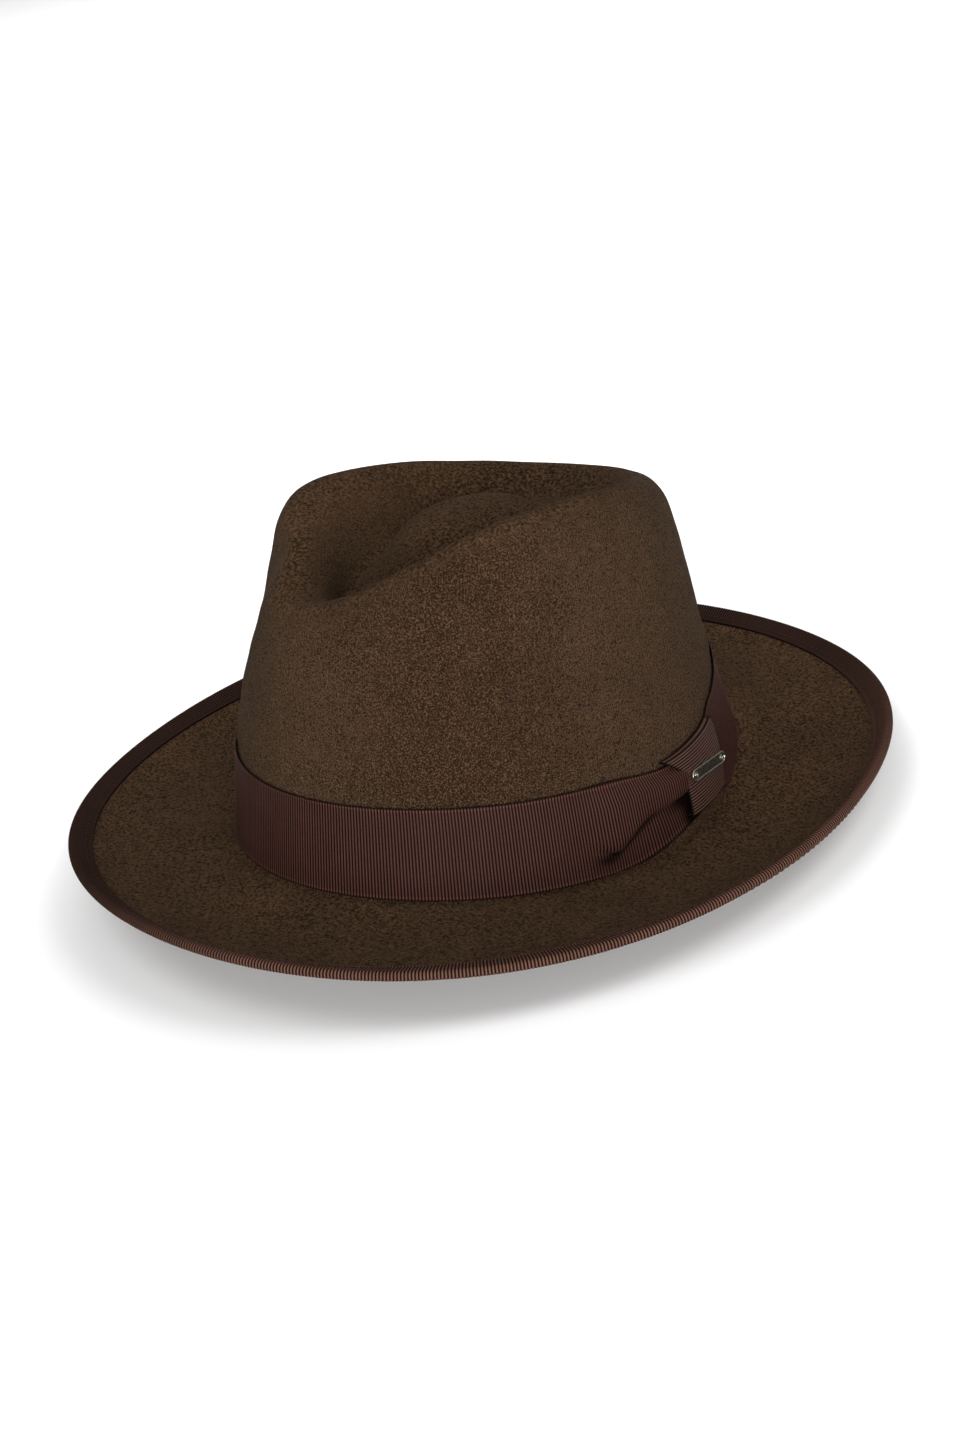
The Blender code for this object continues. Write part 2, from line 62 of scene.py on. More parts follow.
# The felt's shape, as in the CAD part.
HEAD_LENGTH, HEAD_WIDTH, HEAD_EGG = 0.2076, 0.1849, 0.033
BAND_TOP_LENGTH, BAND_TOP_WIDTH = 0.1923, 0.1785
BAND_HEIGHT = 0.0327
BREAK_SADDLE, BREAK_TRIPLE, BREAK_DROP = 0.0074, -0.0017, 0.0010
FELT, GAP = 0.0020, 0.0003
BRIM = 0.0648
BRIM_INNER_SLOPE = (-0.1425, 0.2248, -0.1392, -0.0479)
BRIM_EDGE_SLOPE = (0.714, -0.153, -0.026, 0.298)
BRIM_CURL_POWER = 1.97
BINDING_WIDTH = 0.0072
RIM_FRONT, RIM_BACK, RIM_HALF_WIDTH = 0.0675, 0.0827, 0.0634
RIM_PINCH, RIM_PINCH_POWER = 0.048, 8.9
RIM_HEIGHT, RIM_FORWARD_RISE, RIM_SADDLE, RIM_TRIPLE = 0.1236, 0.0121, -0.0070, -0.0018
RIM_LEAN, RIM_TWIST = 0.0048, -0.0008
RIM_POINT_DIP, RIM_POINT_POWER = 0.0202, 2.44
SHOULDER_OUT, SHOULDER_DROP = 0.0105, 0.0085
LIP_IN, LIP_DROP = 0.0138, 0.0100
WALL_BULGE = 0.0007
MOAT_FRONT, MOAT_BACK, MOAT_HALF_WIDTH = 0.0500, 0.0460, 0.0400
MOAT_PINCH, MOAT_PINCH_POWER = 0.35, 1.02
MOAT_HEIGHT, MOAT_FORWARD_RISE, MOAT_SADDLE = 0.0912, -0.0070, -0.0013
BUMP_BACK, BUMP_HALF_LENGTH, BUMP_HALF_WIDTH, BUMP_HEIGHT = 0.010, 0.034, 0.031, 0.1118
DENT_TURN, DENT_HEIGHT = 0.72, 0.1055
DENT_SPREAD_TURN, DENT_SPREAD_HEIGHT = 0.3465, 0.0247
DENT_LEFT, DENT_RIGHT = 0.0030, 0.0125
LIP_DENT_SPREAD, LIP_DENT_SHARE = 0.62, 0.6
BREAK, BAND_FOOT, BAND_TOP, MIDDLE = 7, 7.45, 11, 21
BRIM_RINGS = (1.0, 1 - BINDING_WIDTH / BRIM, 0.74, 0.56, 0.37, 0.18, 0.022)
BAND_RINGS = ((0.0025, 0.07), (0.36 * BAND_HEIGHT, 0.36), (0.68 * BAND_HEIGHT, 0.68), (BAND_HEIGHT, 1.0))

# Cloth, leather and thread. The nap is how far the felt's face rises and falls, and the crown
# stands out a little just over the band.
RIBBON, LEATHER, SATIN = 0.0007, 0.0008, 0.0004
STITCH, STITCH_GAP, THREAD = 0.0022, 0.0009, 0.00022
NAP_RISE, OVER_BAND = 0.00018, 0.0007
FELT_SEED, LEATHER_SEED = 5, 9

# The ribbons' ribs. Each is a groove, two flanks and a top, and a thicker selvedge runs along the
# ribbon's edges, where the ribs fade out.
RIB_PITCH = 0.0012
RIB_PHASES, RIB_PROFILE = (0.0, 0.28, 0.5, 0.72), (0.0, 0.80, 1.0, 0.80)
BAND_RIB, EDGE_RIB, KNOT_RIB = 0.00018, 0.00028, 0.00034
# SELVEDGE_SHINE paints the band's selvedge lighter: a painted highlight.
SELVEDGE, SELVEDGE_SHINE = 0.00018, 0.5
SELVEDGE_MIDDLE, SELVEDGE_SPREAD, SELVEDGE_WIDTH = 0.0006, 0.0005, 0.0012

# The binding: rings on the brim's two faces and angles round its edge. Its upper face and fold are
# painted lighter on one side as painted light, and darker by FACE_SHADE on the other as painted shade.
EDGE_GAP, EDGE_RIBBON = 0.00012, 0.00045
UPPER_RINGS, UNDER_RINGS = (1.0, 0.985, 0.955, 0.92, 0.70, 0.35, 0.0), (0.0, 0.4, 0.8, 0.955, 1.0)
FOLD_ANGLES = (25, 50, 75, 100, 125, 150)
BEAD_RING, BEAD_SPREAD, END_RINGS = 0.97, 0.022, 0.02
STITCH_RING, FACE_SHADE = 0.62, 0.66
LIT_SIDE_TURN, LIT_SIDE_LOW, LIT_SIDE_SPAN = 75, -0.1, 0.8

# The gather at the wearer's left: turns in degrees, heights above the break. The lower ply takes
# FOLD_SHARE of the ribbon's width, the part that turns back behind the upper ply takes FOLD_BACK,
# and the upper ply takes the rest. BAND_ROWS are the rows of the mesh across the ribbon's width.
FOLD_STARTS, FOLD_ENDS, FOLD_SPAN = 76.0, 107.0, 9
BEYOND_TURN, BEYOND_SPAN = 9, 9
CREASE_HEIGHTS, CREASE_TURN, CREASE_SPAN = (0.0070, 0.0178), 80, 14
FOOT_HEIGHTS, FOOT_TURN, FOOT_SPAN = (0.0, 0.0036), 88, 17
TOP_DROP, TOP_TURN, TOP_SPAN = 0.0054, 82, 22
SWELL_TURN, SWELL_SPAN = 88, 12
FOLD_SHARE, FOLD_BACK, TUCK_SLACK = 0.34, 0.10, 0.0014
PLY_STEP, PUFF, PUFF_POWER = 0.0014, 0.0009, 0.7
FOOT_PUFF, FOOT_LEAN = 0.0006, 0.035
HUG, HUG_STARTS, HUG_SPAN = 0.85, 0.80, 0.18
# CREVICE and CREVICE_SHADE give the spread and strength of painted shade along the crease, and KNOT_SHADOW
# the spread in degrees of painted shadow beside the knot.
CREVICE, CREVICE_SHADE, KNOT_SHADOW = 0.0016, 0.9, 2.2
BAND_ROWS = (0, 0.012, 0.03, 0.06, 0.14, 0.22, 0.30, 0.33, 0.345, 0.37, 0.40, 0.42, 0.433, 0.448, 0.47,
             0.52, 0.60, 0.70, 0.80, 0.90, 0.95, 0.975, 0.99, 1)

# The knot flares at its upper front corner, narrows at its waist and tapers at its lower rear
# corner, in degrees, and rolls under at its top and bottom. The plate lies across it.
KNOT_TURNS, KNOT_HEIGHTS, KNOT_WIDTH = (103.7, 120.3), (0.0085, 0.0330), 0.0250
KNOT_FLARE, KNOT_WAIST, KNOT_TAPER = 4.0, 0.4, 2.2
KNOT_ROLL, KNOT_OVERHANG = 0.0026, 0.0010
KNOT_LIFT, KNOT_END_LIFT, KNOT_SIDE_DROP, KNOT_CROWN = 0.0047, 0.0012, 0.0010, 0.0004
PLATE_LENGTH, PLATE_WIDTH, PLATE_THICKNESS = 0.0246, 0.0046, 0.0008
PLATE_HEIGHT, PLATE_TURN, PLATE_TILT, PLATE_LIFT = 0.0216, 111.9, -12.0, 0.0058
FIELD_INSET, FIELD_DEPTH = 0.0005, 0.12
RIM_PROFILE = ((0, -0.5), (0, 0.30), (0.00010, 0.45), (0.00028, 0.5), (0.00046, 0.42), (0.00055, 0.20),
               (0.00055, -0.5))
EYELET_PROFILE = ((0.00078, -0.4), (0.00078, 0.30), (0.00090, 0.42), (0.00108, 0.42), (0.00120, 0.25),
                  (0.00120, -0.4))
PIN_RADIUS, PIN_HOLE, PIN_OFFSET = 0.0005, 0.0008, 0.0096
PIN_PROFILE = ((1, -0.0005), (1, 0.00018), (0.92, 0.00030), (0.70, 0.00040), (0.35, 0.00046))
TACK_TURNS = {"band_tack_front": 12, "band_tack_right": 262, "band_tack_back": 186}
TACK_HEIGHTS, TACK_LIFTS = (0.0343, 0.0356, 0.0366, 0.0374), (0.0013, 0.0016, 0.0015, 0.0004)
TACK_SLANT = 0.4

# Inside the head opening.
SWEATBAND_FOOT, SWEATBAND_HEIGHT, REED_RADIUS = 8, 0.045, 0.0010
SWEATBAND_DEPTH = FELT + 3 * GAP + SATIN
LEATHER_FACE = SWEATBAND_DEPTH + LEATHER
LEATHER_RISE = 0.00008
STITCH_HEIGHT, SEAM_HEIGHTS = 0.0085, (0.0240, 0.0430)
SEAM_STEPS, SEAM_HALF_TURN, SEAM_STITCH, SEAM_GAP = 15, 0.9, 0.0024, 0.0003
SEAM_BOW_HEIGHT, SEAM_BOW_HALF_TURN = 0.0165, 9
SEAM_BOW_WAIST, SEAM_BOW_FLARE = 0.0016, 0.0034
LABEL_HEIGHTS, LABEL_TURNS = (0.016, 0.036), (152, 160)
LINING_RINGS = (10, 11, 11.35, 12, 13, 14)
LINING_LOOSE = (0.0003, 0.0003, 0.0003, 0.0005, 0.0010, 0.0014)
TIP_LOOSE = 0.0020
PIPING_RING, PIPING_RADIUS, PIPING_LOOSE = 14.5, 0.0007, 0.0009

# The camera's angles in degrees and how far the hat's origin lies from the middle of its picture,
# and each light's azimuth, elevation, distance, size and power. The backdrop's light shines away
# from the hat, on the floor behind it.
CAMERA_AZIMUTH, CAMERA_ELEVATION, CAMERA_ROLL = 55.3375, 25.5726, -9.9803
CAMERA_DISTANCE, CAMERA_LENS, CAMERA_OFF = 0.9331, 58.45, (0.0026, -0.0231)
LIGHTS = {
    "left": (-5, 60, 1.6, 0.9, 6),
    "right": (120, 55, 1.6, 0.9, 8),
    "front": (55, 10, 1.8, 1.0, 46),
    "backdrop": (235, 50, 1.5, 1.2, 50),
}
BACKDROP_SPOT = 2.2
LIGHTS_AIM = 0.05
WORLD_LIGHT = 0.39


# The felt's outer face.
def waves(terms, turn):
    """A mean and its changes with the first, second and third multiple of the turn."""
    return sum(term * np.cos(order * turn) for order, term in enumerate(terms))


def oval(length, width, turn):
    """Plan of the head opening: wider behind the middle than in front of it."""
    half_width = width / 2 * (1 - HEAD_EGG * np.cos(turn))
    return np.stack([half_width * np.sin(turn), -length / 2 * np.cos(turn)], -1)


def teardrop(front, back, half_width, pinch, power, turn):
    """Plan of a crown ring: an oval that is pinched towards the front."""
    reach = np.where(np.cos(turn) > 0, front, back)
    narrow = 1 - pinch * ((1 + np.cos(turn)) / 2) ** power
    return np.stack([half_width * narrow * np.sin(turn), -reach * np.cos(turn)], -1)


def outward(outline, turn):
    """Unit normal of a plan outline, which is a function of the turn."""
    step = 1e-3
    along = outline(turn + step) - outline(turn - step)
    normal = np.stack([along[:, 1], -along[:, 0]], -1)
    return normal / np.linalg.norm(normal, axis=1)[:, None]


def head(turn):
    return oval(HEAD_LENGTH, HEAD_WIDTH, turn)


def band_top(turn):
    return oval(BAND_TOP_LENGTH, BAND_TOP_WIDTH, turn)


def rim(turn):
    return teardrop(RIM_FRONT, RIM_BACK, RIM_HALF_WIDTH, RIM_PINCH, RIM_PINCH_POWER, turn)


def moat(turn):
    return teardrop(MOAT_FRONT, MOAT_BACK, MOAT_HALF_WIDTH, MOAT_PINCH, MOAT_PINCH_POWER, turn)


def break_height(turn):
    """Height of the break, the line where the brim meets the wall."""
    return BREAK_SADDLE * np.cos(2 * turn) + BREAK_TRIPLE * np.cos(3 * turn)


def place(plan, height):
    """Points from a plan and a height, or a height for each."""
    return np.concatenate([plan, np.broadcast_to(height, len(plan))[:, None]], axis=1)


def brim_ring(part, turn, steps=24):
    """The ring at this part of the brim's width, found by following the slope out from the break."""
    inner, edge = waves(BRIM_INNER_SLOPE, turn), waves(BRIM_EDGE_SLOPE, turn)
    at = (np.arange(steps) + 0.5) / steps * part
    slope = inner[:, None] + (edge - inner)[:, None] * at[None] ** BRIM_CURL_POWER
    out = np.cos(slope).sum(1) * BRIM * part / steps
    up = np.sin(slope).sum(1) * BRIM * part / steps
    return place(head(turn) + outward(head, turn) * out[:, None], break_height(turn) + up)


def dented(outline, height, turn):
    """The outline pushed in by the two thumb dents."""
    normal = outward(outline, turn)
    push = 0
    for side, depth in ((1, DENT_LEFT), (-1, DENT_RIGHT)):
        away = np.angle(np.exp(1j * (turn - side * DENT_TURN)))
        push = push + depth * np.exp(-((away / DENT_SPREAD_TURN) ** 2))
    push = push * np.exp(-(((height - DENT_HEIGHT) / DENT_SPREAD_HEIGHT) ** 2))
    return place(outline(turn) - normal * push[:, None], height)


def crown_rings(turn):
    """The rings from the break up the wall, over the rim and in to the middle."""
    foot = break_height(turn)
    rim_height = waves((RIM_HEIGHT, RIM_FORWARD_RISE, RIM_SADDLE, RIM_TRIPLE), turn)
    rim_height = rim_height + RIM_LEAN * np.sin(turn) + RIM_TWIST * np.sin(2 * turn)
    rim_height = rim_height - RIM_POINT_DIP * ((1 + np.cos(turn)) / 2) ** RIM_POINT_POWER

    def shoulder(at):
        return rim(at) + outward(rim, at) * SHOULDER_OUT

    def lip(at):
        return rim(at) - outward(rim, at) * LIP_IN

    rings = [place(head(turn), foot - BREAK_DROP)]
    for height, share in BAND_RINGS:
        rings.append(place(head(turn) * (1 - share) + band_top(turn) * share, foot + height))
    for share in (0.36, 0.70):
        def wall(at, share=share):
            flat = band_top(at) * (1 - share) + shoulder(at) * share
            return flat + outward(head, at) * WALL_BULGE * 4 * share * (1 - share)
        height = (foot + BAND_HEIGHT) * (1 - share) + (rim_height - SHOULDER_DROP) * share
        rings.append(dented(wall, height, turn))
    rings.append(dented(shoulder, rim_height - SHOULDER_DROP, turn))
    rings.append(dented(rim, rim_height, turn))
    away = np.angle(np.exp(1j * (turn + DENT_TURN)))
    dent = LIP_DENT_SHARE * DENT_RIGHT * np.exp(-((away / LIP_DENT_SPREAD) ** 2))
    inner = place(lip(turn) - outward(lip, turn) * dent[:, None], rim_height - LIP_DROP)
    rings.append(inner)
    low = waves((MOAT_HEIGHT, MOAT_FORWARD_RISE, MOAT_SADDLE), turn)
    rings.append(inner * (0.45, 0.45, 0.4) + place(moat(turn) * 0.55, low * 0.6))
    rings.append(place(moat(turn), low))
    for size, rise in ((1.0, 0.45), (0.66, 0.95), (0.2, 1.0)):
        across, back = BUMP_HALF_WIDTH * size * np.sin(turn), BUMP_HALF_LENGTH * size * np.cos(turn)
        bump = np.stack([across, BUMP_BACK - back], -1)
        rings.append(place(bump, low * (1 - rise) + BUMP_HEIGHT * rise))
    return rings


def net(turn):
    """Every ring from the brim's edge in, and one more beyond each end for the spline."""
    brim = [brim_ring(part, turn) for part in BRIM_RINGS]
    rings = np.array(brim + crown_rings(turn))
    return np.concatenate([2 * rings[:1] - rings[1:2], rings, 2 * rings[-1:] - rings[-2:-1]])


def spline(points, ring):
    """Cubic B-spline across the rings of the net, at one ring or at one for each turn."""
    ring = np.broadcast_to(ring, points.shape[1]).astype(float)
    first = np.clip(ring.astype(int), 0, len(points) - 4)
    f = (ring - first)[:, None]
    weights = ((1 - f) ** 3, 3 * f**3 - 6 * f**2 + 4, -3 * f**3 + 3 * f**2 + 3 * f + 1, f**3)
    column = np.arange(points.shape[1])
    return sum(w * points[first + k, column] for k, w in enumerate(weights)) / 6


def face(turn):
    """The felt's outer face over these turns, as a function of ring and of depth under the face."""
    step = 1e-3
    here, ahead, behind = net(turn), net(turn + step), net(turn - step)

    def at(ring, depth=0.0):
        along = spline(ahead, ring) - spline(behind, ring)
        across = spline(here, ring + step) - spline(here, ring - step)
        normal = np.cross(along, across)
        normal /= np.linalg.norm(normal, axis=1)[:, None]
        return spline(here, ring) - normal * np.reshape(depth, (-1, 1))

    return at


@functools.lru_cache
def wall_heights():
    """Rings of the wall and their heights above the break, at the wearer's left."""
    side = np.array([math.pi / 2])
    at = face(side)
    rings = np.linspace(BREAK, 13, 61)
    return rings, np.array([at(ring)[0, 2] for ring in rings]) - break_height(side)[0]


def ring_at(height):
    """The wall's ring at this height above the break."""
    rings, heights = wall_heights()
    return np.interp(height, heights, rings)


def height_at(ring):
    rings, heights = wall_heights()
    return float(np.interp(ring, rings, heights))


def ease(x):
    """From 0 to 1 with a soft start and a soft end."""
    x = np.clip(x, 0, 1)
    return x * x * (3 - 2 * x)


def mix(ends, share):
    return ends[0] + (ends[1] - ends[0]) * share


def around(columns):
    """Turns round the whole hat, closer together at the pinched front."""
    even = np.arange(columns) / columns * 2 * math.pi
    return even - 0.25 * np.sin(even)


def measured(ring, first=0.0, last=2 * math.pi):
    """Turns along the felt at this ring, and the length in metres up to each."""
    turn = np.linspace(first, last, 1441)
    steps = np.linalg.norm(np.diff(face(turn)(ring), axis=0), axis=1)
    return turn, np.concatenate([[0], np.cumsum(steps)])


def ribs_along(length):
    """Where the ribs' grooves, flanks and tops lie along a ribbon, from 0 to 1, and their heights."""
    count = max(1, round(length / RIB_PITCH))
    at = (np.arange(count)[:, None] + np.array(RIB_PHASES)[None]).ravel() / count
    return at, np.tile(RIB_PROFILE, count)


# Meshes.
def mesh_of(name, grid, closed=False, looped=False, poles=(False, False)):
    """A mesh through a grid of points: rows, columns, xyz. closed joins each row's two ends, and
    looped joins the last row to the first."""
    rows, columns = grid.shape[:2]
    index = np.arange(rows * columns).reshape(rows, columns)
    if closed:
        index = np.concatenate([index, index[:, :1]], axis=1)
    if looped:
        index = np.concatenate([index, index[:1]])
    quads = np.stack([index[:-1, :-1], index[:-1, 1:], index[1:, 1:], index[1:, :-1]], -1).reshape(-1, 4)
    points = grid.reshape(-1, 3)
    faces = quads.tolist()
    for pole, row, flip in ((poles[0], 0, True), (poles[1], -1, False)):
        if not pole:
            continue
        points = np.concatenate([points, grid[row].mean(0, keepdims=True)])
        ring = index[row].tolist()
        top = len(points) - 1
        for a, b in zip(ring[:-1], ring[1:]):
            faces.append((b, a, top) if flip else (a, b, top))
    mesh = bpy.data.meshes.new(name)
    mesh.from_pydata(points, [], faces)
    mesh.shade_smooth()
    return mesh


def joined(name, meshes):
    """One mesh that holds the others side by side."""
    points, faces = [], []
    for mesh in meshes:
        faces += [[len(points) + i for i in polygon.vertices] for polygon in mesh.polygons]
        points += [tuple(vertex.co) for vertex in mesh.vertices]
    whole = bpy.data.meshes.new(name)
    whole.from_pydata(points, [], faces)
    whole.shade_smooth()
    return whole


def paint(mesh, name, values):
    """A number at each point, for the material to read. Points at a pole get 1."""
    full = np.ones(len(mesh.vertices), np.float32)
    values = np.asarray(values, np.float32).ravel()
    full[: len(values)] = values
    mesh.attributes.new(name, "FLOAT", "POINT").data.foreach_set("value", full)


def show(name, mesh, look, slot, *nodes):
    """Puts a finished piece in the scene in place of its CAD nodes."""
    piece = bpy.data.objects.new(name, mesh)
    mesh.materials.append(look)
    bpy.context.scene.collection.objects.link(piece)
    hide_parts(*nodes)
    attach(piece, "root")
    return piece


def mesh_of_curve(name, curve):
    """The mesh that a curve's bevel or fill makes."""
    made = bpy.data.objects.new(name, curve)
    bpy.context.scene.collection.objects.link(made)
    bpy.context.view_layer.update()
    mesh = bpy.data.meshes.new_from_object(made.evaluated_get(bpy.context.evaluated_depsgraph_get()))
    bpy.data.objects.remove(made)
    return mesh


def closed_run(curve, points):
    """Adds a closed run of straight steps through the points to a curve."""
    run = curve.splines.new("POLY")
    run.points.add(len(points) - 1)
    for spot, point in zip(run.points, points):
        spot.co = (*point, 1)
    run.use_cyclic_u = True


def thicken(piece, thickness):
    """Gives a sheet its thickness, behind its face."""
    solid = piece.modifiers.new("Solidify", "SOLIDIFY")
    solid.thickness = thickness
    solid.offset = -1
    return piece


def stitches(name, points, radius, length, gap, look, slot, *nodes):
    """A row of separate stitches along the points: each a six-sided tube with drawn-in ends."""
    along = np.concatenate([[0], np.cumsum(np.linalg.norm(np.diff(points, axis=0), axis=1))])
    count = max(1, round(along[-1] / (length + gap)))
    pitch = along[-1] / count
    shares = np.array((0, 0.3, 0.7, 1)) * length / (length + gap)
    spots = ((np.arange(count)[:, None] + shares) * pitch).ravel()
    path = np.stack([np.interp(spots, along, points[:, k]) for k in range(3)], -1).reshape(count, 4, 3)
    ahead = np.gradient(path, axis=1)
    ahead /= np.linalg.norm(ahead, axis=2)[..., None]
    side = np.cross(ahead, (0, 0, 1.0))
    side /= np.linalg.norm(side, axis=2)[..., None]
    up = np.cross(side, ahead)
    angle = np.arange(6) / 6 * 2 * math.pi
    size = radius * np.array([0.35, 1, 1, 0.35])[None, :, None, None]
    circle = side[:, :, None] * np.cos(angle)[:, None] + up[:, :, None] * np.sin(angle)[:, None]
    tubes = path[:, :, None] + circle * size
    vertices, faces = tubes.reshape(-1, 3), []
    for base in range(0, len(vertices), 24):
        for row in range(3):
            for k in range(6):
                a, b = base + row * 6 + k, base + row * 6 + (k + 1) % 6
                faces.append((a, b, b + 6, a + 6))
        faces.append(tuple(base + 5 - k for k in range(6)))
        faces.append(tuple(base + 18 + k for k in range(6)))
    mesh = bpy.data.meshes.new(name)
    mesh.from_pydata(vertices, [], faces)
    mesh.shade_smooth()
    return show(name, mesh, look, slot, *nodes)


# Materials.
def look_of(name, roughness, metallic=0.0, **sockets):
    """A material and its Principled shader, with the settings that are the same all over."""
    made = bpy.data.materials.new(name)
    made.use_nodes = True
    shader = made.node_tree.nodes["Principled BSDF"]
    shader.inputs["Roughness"].default_value = roughness
    shader.inputs["Metallic"].default_value = metallic
    for socket, value in sockets.items():
        shader.inputs[socket.replace("_", " ")].default_value = value
    return made, shader


class Nodes:
    """Makes and links shader nodes in one material."""

    def __init__(self, made):
        self.tree = made.node_tree
        self.spot = self.add("ShaderNodeTexCoord").outputs["Object"]

    def add(self, kind, **inputs):
        node = self.tree.nodes.new(kind)
        for name, value in inputs.items():
            self.put(node.inputs[name.replace("_", " ")], value)
        return node

    def put(self, socket, value):
        if isinstance(value, bpy.types.NodeSocket):
            self.tree.links.new(value, socket)
        else:
            socket.default_value = value

    def noise(self, size, detail=2.0, rough=0.5, stretch=None):
        """Soft noise whose blobs are about this size in metres, as a number from 0 to 1."""
        spot = self.spot
        if stretch:
            spot = self.add("ShaderNodeMapping", Vector=spot, Scale=stretch).outputs[0]
        node = self.add("ShaderNodeTexNoise", Vector=spot, Scale=1 / size, Detail=detail, Roughness=rough)
        return node.outputs["Fac"]

    def attribute(self, name):
        node = self.add("ShaderNodeAttribute")
        node.attribute_name = name
        return node.outputs["Fac"]

    def math(self, operation, a, b):
        node = self.add("ShaderNodeMath")
        node.operation = operation
        self.put(node.inputs[0], a)
        self.put(node.inputs[1], b)
        return node.outputs[0]

    def spread(self, value, low, high, to_low=0.0, to_high=1.0):
        node = self.add("ShaderNodeMapRange", Value=value)
        for name, number in (("From Min", low), ("From Max", high), ("To Min", to_low), ("To Max", to_high)):
            node.inputs[name].default_value = number
        return node.outputs[0]

    def blend(self, share, one, other):
        """From one colour (or a socket that gives one) to another."""
        node = self.add("ShaderNodeMix")
        node.data_type = "RGBA"
        self.put(node.inputs[0], share)
        self.put(node.inputs[6], one if isinstance(one, bpy.types.NodeSocket) else (*one, 1))
        self.put(node.inputs[7], (*other, 1))
        return node.outputs[2]

    def bump(self, height, distance, strength=1.0, normal=None):
        node = self.add("ShaderNodeBump", Height=height, Distance=distance, Strength=strength)
        if normal is not None:
            self.put(node.inputs["Normal"], normal)
        return node.outputs[0]


def felt_look():
    """Wool felt: light and dark fibres under a short nap, faint clouding, and a soft edge of light.
    Where the felt lies level its fibres gather in bigger tufts, painted a little lighter as painted light."""
    made, shader = look_of("brown_wool_felt", 0.95, Specular_IOR_Level=0.03, Sheen_Weight=0.11,
                           Sheen_Roughness=0.08, Sheen_Tint=(0.90, 0.68, 0.48, 1))
    nodes = Nodes(made)
    cloud = nodes.spread(nodes.noise(0.030, 3.0), 0.3, 0.7)
    mottle = nodes.spread(nodes.noise(0.0030, 3.0, 0.6), 0.3, 0.7)
    fibre = nodes.spread(nodes.noise(0.00058, 1.0, 0.8), 0.38, 0.62)
    tuft = nodes.spread(nodes.noise(0.0012, 2.0, 0.8), 0.37, 0.60)
    normal = nodes.add("ShaderNodeNewGeometry").outputs["Normal"]
    upward = nodes.add("ShaderNodeSeparateXYZ", Vector=normal).outputs["Z"]
    level = nodes.spread(nodes.math("ABSOLUTE", upward, 0.0), 0.55, 0.85)
    # Painted light: where the felt lies level, the tufts' tone is a little lighter than the fibres'.
    bigger_and_lighter_tufts = nodes.math("MULTIPLY", level, nodes.math("SUBTRACT", tuft, fibre))
    fibre = nodes.math("ADD", fibre, bigger_and_lighter_tufts)
    tone = nodes.math("ADD", nodes.math("MULTIPLY", cloud, 0.14), nodes.math("MULTIPLY", mottle, 0.08))
    tone = nodes.math("ADD", tone, nodes.math("MULTIPLY", fibre, 0.78))
    tone = nodes.math("POWER", tone, 1.5)
    colour = nodes.blend(tone, (0.0110, 0.0062, 0.0031), (0.0880, 0.0485, 0.0250))
    nodes.put(shader.inputs["Base Color"], colour)
    nap = nodes.bump(mottle, 0.00015, 0.5)
    nodes.put(shader.inputs["Normal"], nodes.bump(fibre, 0.00050, 1.0, nap))
    return made


def ribbon_look(name, shaded_groove, top, roughness, gloss):
    """Grosgrain: the ribs are in the mesh, and the 'rib' attribute paints their grooves darker as painted
    shade, together with the painted shadows and highlights that the same attribute carries.
    """
    made, shader = look_of(name, roughness, Specular_IOR_Level=gloss, Sheen_Weight=0.01,
                           Sheen_Roughness=0.35, Sheen_Tint=(0.85, 0.58, 0.50, 1))
    nodes = Nodes(made)
    rib = nodes.attribute("rib")
    cloud = nodes.spread(nodes.noise(0.012, 3.0), 0.25, 0.75)
    yarn = nodes.spread(nodes.noise(0.0006, 2.0, 0.6), 0.3, 0.7)
    # Painted shade: the power deepens the dark colour painted into the grooves.
    rib = nodes.math("POWER", rib, 3.0)
    share = nodes.math("MULTIPLY", rib, nodes.spread(yarn, 0, 1, 0.72, 1.0))
    share = nodes.math("MULTIPLY", share, nodes.spread(cloud, 0, 1, 0.82, 1.0))
    nodes.put(shader.inputs["Base Color"], nodes.blend(share, shaded_groove, top))
    nodes.put(shader.inputs["Roughness"], nodes.spread(yarn, 0, 1, roughness - 0.08, roughness + 0.08))
    nodes.put(shader.inputs["Normal"], nodes.bump(yarn, 0.00006, 0.6))
    return made


def thread_look():
    """Dark brown thread."""
    made, shader = look_of("brown_thread", 0.65, Specular_IOR_Level=0.06)
    nodes = Nodes(made)
    twist = nodes.spread(nodes.noise(0.0004, 2.0), 0.3, 0.7)
    nodes.put(shader.inputs["Base Color"], nodes.blend(twist, (0.009, 0.005, 0.004), (0.028, 0.015, 0.012)))
    nodes.put(shader.inputs["Normal"], nodes.bump(twist, 0.00008, 0.7))
    return made


def metal_look(name, dark, bright, roughness):
    """Aged metal: darker where it is rough, with fine brushing."""
    made, shader = look_of(name, roughness, 1.0)
    nodes = Nodes(made)
    patina = nodes.spread(nodes.noise(0.0012, 4.0, 0.6), 0.3, 0.7)
    nodes.put(shader.inputs["Base Color"], nodes.blend(patina, dark, bright))
    nodes.put(shader.inputs["Roughness"], nodes.spread(patina, 0, 1, roughness + 0.15, roughness - 0.05))
    nodes.put(shader.inputs["Normal"], nodes.bump(nodes.noise(0.0003, 2.0), 0.00003, 0.5))
    return made


